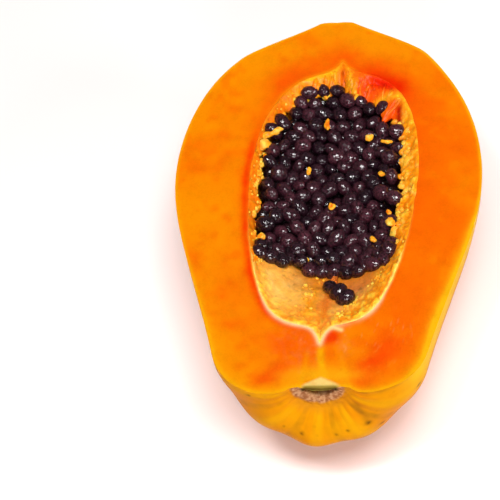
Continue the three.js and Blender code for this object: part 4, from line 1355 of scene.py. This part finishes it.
number = numbered(LUMP_COUNT)
lump_along = rim_lengths[-1] * chance(number, 11)
is_lobe = chance(number, 16) < 0.6
lump_in = np.where(is_lobe, lerp(0.72, 1.02, chance(number, 12)), lerp(0.2, 1.0, chance(number, 12)))
spot = lining_point(lump_along[None], lump_in[None])[0][0]
far, _, width = zones(lump_along)
keep = chance(number, 13) < lerp(1, 0.15, far) * smoothstep(width, 1, 4)
number, spot, width, is_lobe = (values[keep] for values in (number, spot, width, is_lobe))
size = np.where(is_lobe, lerp(1.0, 2.1, chance(number, 17) ** 1.4), lerp(0.4, 0.9, chance(number, 17)))
size = size * lerp(0.6, 1, smoothstep(width, 3, 7))
spot[..., 2] = np.minimum(spot[..., 2] - 0.55 * size, -1.2 * size)
wall_lumps = lumps_at(spot, size, number)
print("lumps on the lining", len(number))

# %% Grains on the bare floor
floor_number = numbered(FLOOR_GRAIN_COUNT, 5000)
floor_y = lerp(-70, -32, chance(floor_number, 1))
middle_line = -7 + 0.13 * (floor_y + 50)
floor_x = middle_line + 4.5 * (chance(floor_number, 2) + chance(floor_number, 3) - 1)
right_edge_x = lerp(7, 24, smoothstep(floor_y, -66, -36)) - 3.5 * chance(floor_number, 5)
floor_x = np.where(chance(floor_number, 4) < 0.75, right_edge_x, floor_x)
floor_share, floor_turn = locate(round_rim, floor_x, floor_y)
floor_z = 0.1 - hollow_depth(np.minimum(floor_share, 1), floor_turn)
inside = floor_share < 0.96
floor_spot = np.stack([floor_x, floor_y, floor_z], -1)[inside]
floor_number = floor_number[inside]
floor_lumps = lumps_at(floor_spot, lerp(0.25, 0.9, chance(floor_number, 6) ** 2), floor_number)
grain_points, grain_faces, _, owner = joined(np.concatenate([wall_lumps, floor_lumps]))
grain_share = chance(np.concatenate([number, floor_number]), 19)[owner]
# The grains get the hollow's painted light.
grain_tint = HOLLOW_LIGHT_GAIN * blend((250, 146, 18), (255, 200, 74), grain_share)
dress(mesh_piece("papaya_pulp_grains", grain_points, grain_faces), grain_tint, pulp)

# %% Bits between the seeds
BITS = np.array([
    # x, y, z, half width, half length, swing in degrees
    (-1.0, 42.6, -5.6, 1.5, 3.4, 6), (-8.6, 18.0, -7.2, 0.9, 1.9, 0), (1.7, -1.6, -7.4, 1.6, 1.7, 20),
    (17.4, 34.6, -5.6, 1.6, 2.0, -30), (22.6, 13.6, -5.6, 1.4, 1.6, 40), (19.0, -19.7, -7.6, 1.4, 1.5, 0),
    (26.5, -13.1, -4.4, 1.7, 1.9, 15), (25.6, -8.0, -4.4, 1.2, 1.6, 60), (24.5, 30.6, -4.2, 1.0, 3.0, 80),
    (-1.4, 57.6, -5.4, 0.9, 2.2, 60), (11.5, 57.0, -4.8, 1.3, 1.9, -20), (-24.6, 36.6, -2.7, 1.7, 4.2, -62),
    (-27.4, 29.4, -2.7, 2.1, 2.9, 30), (-30.0, 14.3, -3.6, 1.2, 2.0, 0), (-27.1, -21.0, -4.8, 1.6, 2.8, 10),
    (-9.3, -28.3, -10.4, 1.1, 2.4, -50), (27.6, 1.0, -4.4, 1.2, 1.6, 70), (-27.4, 24.0, -4.0, 1.1, 1.5, 0),
])
bit_number = numbered(len(BITS), 500)
bit_key = 30 * bit_number[:, None, None, None]
bit_size = BITS[:, [3, 4, 3]] * [1, 1, 0.8]
bit_local = lump_grid(14, 18)[None] * bit_size[:, None, None]
dents = 0.55 * noise(bit_local + bit_key, 2.0, 6) + 0.22 * noise(bit_local + bit_key, 0.8, 9)
bit_local = bit_local * (1 + dents)[..., None]
bits = turned(bit_local, 0.8 * (chance(bit_number, 1) - 0.5), np.radians(BITS[:, 5]))
bits = bits + BITS[:, None, None, :3]
bit_points, bit_faces, bit_used, _ = joined(bits)
dented = dents.ravel()[bit_used]
# The bits get the hollow's painted light.
bit_tint = HOLLOW_LIGHT_GAIN * layers(bit_points, (250, 164, 34), [
    (smoothstep(dented, 0, 0.5), (254, 196, 82)), (smoothstep(-dented, 0, 0.4), (238, 116, 14)),
])
dress(mesh_piece("papaya_pulp_bits", bit_points, bit_faces), bit_tint, pulp)

# %% [markdown]
# ## Table, light and camera
# The fruit lies on a white table in a bright studio. One strong sun-like lamp would draw hard
# shadows and burn the wet seeds white. So four soft square lamps share the work: the key hangs
# nearly overhead, in front and to the right, a small one at its left rounds the heap, and two low
# fills, from the right and from the front, keep the rind bright. A faint even light fills the rest.

# %% Table
TABLE_HALF = 2.0
corners = [(x * TABLE_HALF, y * TABLE_HALF, 0) for x, y in ((-1, -1), (1, -1), (1, 1), (-1, 1))]
table_mesh = bpy.data.meshes.new("table")
table_mesh.from_pydata(corners, [], [(0, 1, 2, 3)])
table = put("table", table_mesh)
white = bpy.data.materials.new("white_table")
white.use_nodes = True
WHITE = {"Base Color": (0.99, 0.85, 0.83, 1), "Roughness": 0.6, "Specular IOR Level": 0.2}
for socket, value in WHITE.items():
    white.node_tree.nodes["Principled BSDF"].inputs[socket].default_value = value
table_mesh.materials.append(white)

# %% Light
WORLD_STRENGTH = 0.115
LAMPS = [
    # name, place, height of the point it faces, side in m, power in W
    ("key", (0.14, -0.37, 1.05), 0.05, 0.38, 10.4),
    ("left_light", (-0.2, -0.33, 1.05), 0.05, 0.18, 5),
    ("right_fill", (1.5, -0.6, 0.75), 0.04, 0.5, 12),
    ("front_fill", (0.1, -1.85, 0.88), 0.04, 0.5, 10.5),
]
world = bpy.data.worlds.new("studio")
world.use_nodes = True
world.node_tree.nodes["Background"].inputs["Color"].default_value = (1, 1, 1, 1)
world.node_tree.nodes["Background"].inputs["Strength"].default_value = WORLD_STRENGTH
bpy.context.scene.world = world

for name, place, aim_height, side, power in LAMPS:
    lamp = bpy.data.lights.new(name, "AREA")
    lamp.size = side
    lamp.energy = power
    direction = Vector(place) - Vector((0, 0, aim_height))
    facing = direction.to_track_quat("Z", "Y").to_matrix().to_4x4()
    put(name, lamp).matrix_world = Matrix.Translation(place) @ facing
print("lamps", [name for name, *_ in LAMPS])

# %% Camera
ELEVATION = math.radians(52)
AZIMUTH = math.radians(10.395)
ROLL = math.radians(-9.474)
DISTANCE = 0.7
LENS, SENSOR_WIDTH = 122.9, 36
AIM = (np.array([-30.886, -29.677, 0]) + ORIGIN) / 1000

back = Vector((
    math.sin(AZIMUTH) * math.cos(ELEVATION), -math.cos(AZIMUTH) * math.cos(ELEVATION), math.sin(ELEVATION)
))
level = (-back).cross(Vector((0, 0, 1))).normalized()
upright = level.cross(-back)
across = math.cos(ROLL) * level + math.sin(ROLL) * upright
upwards = -math.sin(ROLL) * level + math.cos(ROLL) * upright
camera = put("camera", bpy.data.cameras.new("camera"))
camera.data.lens = LENS
camera.data.sensor_width = SENSOR_WIDTH
axes = Matrix((across, upwards, back)).transposed().to_4x4()
camera.matrix_world = Matrix.Translation(Vector(AIM) + DISTANCE * back) @ axes
bpy.context.scene.camera = camera
bpy.context.scene.view_settings.view_transform = "Standard"
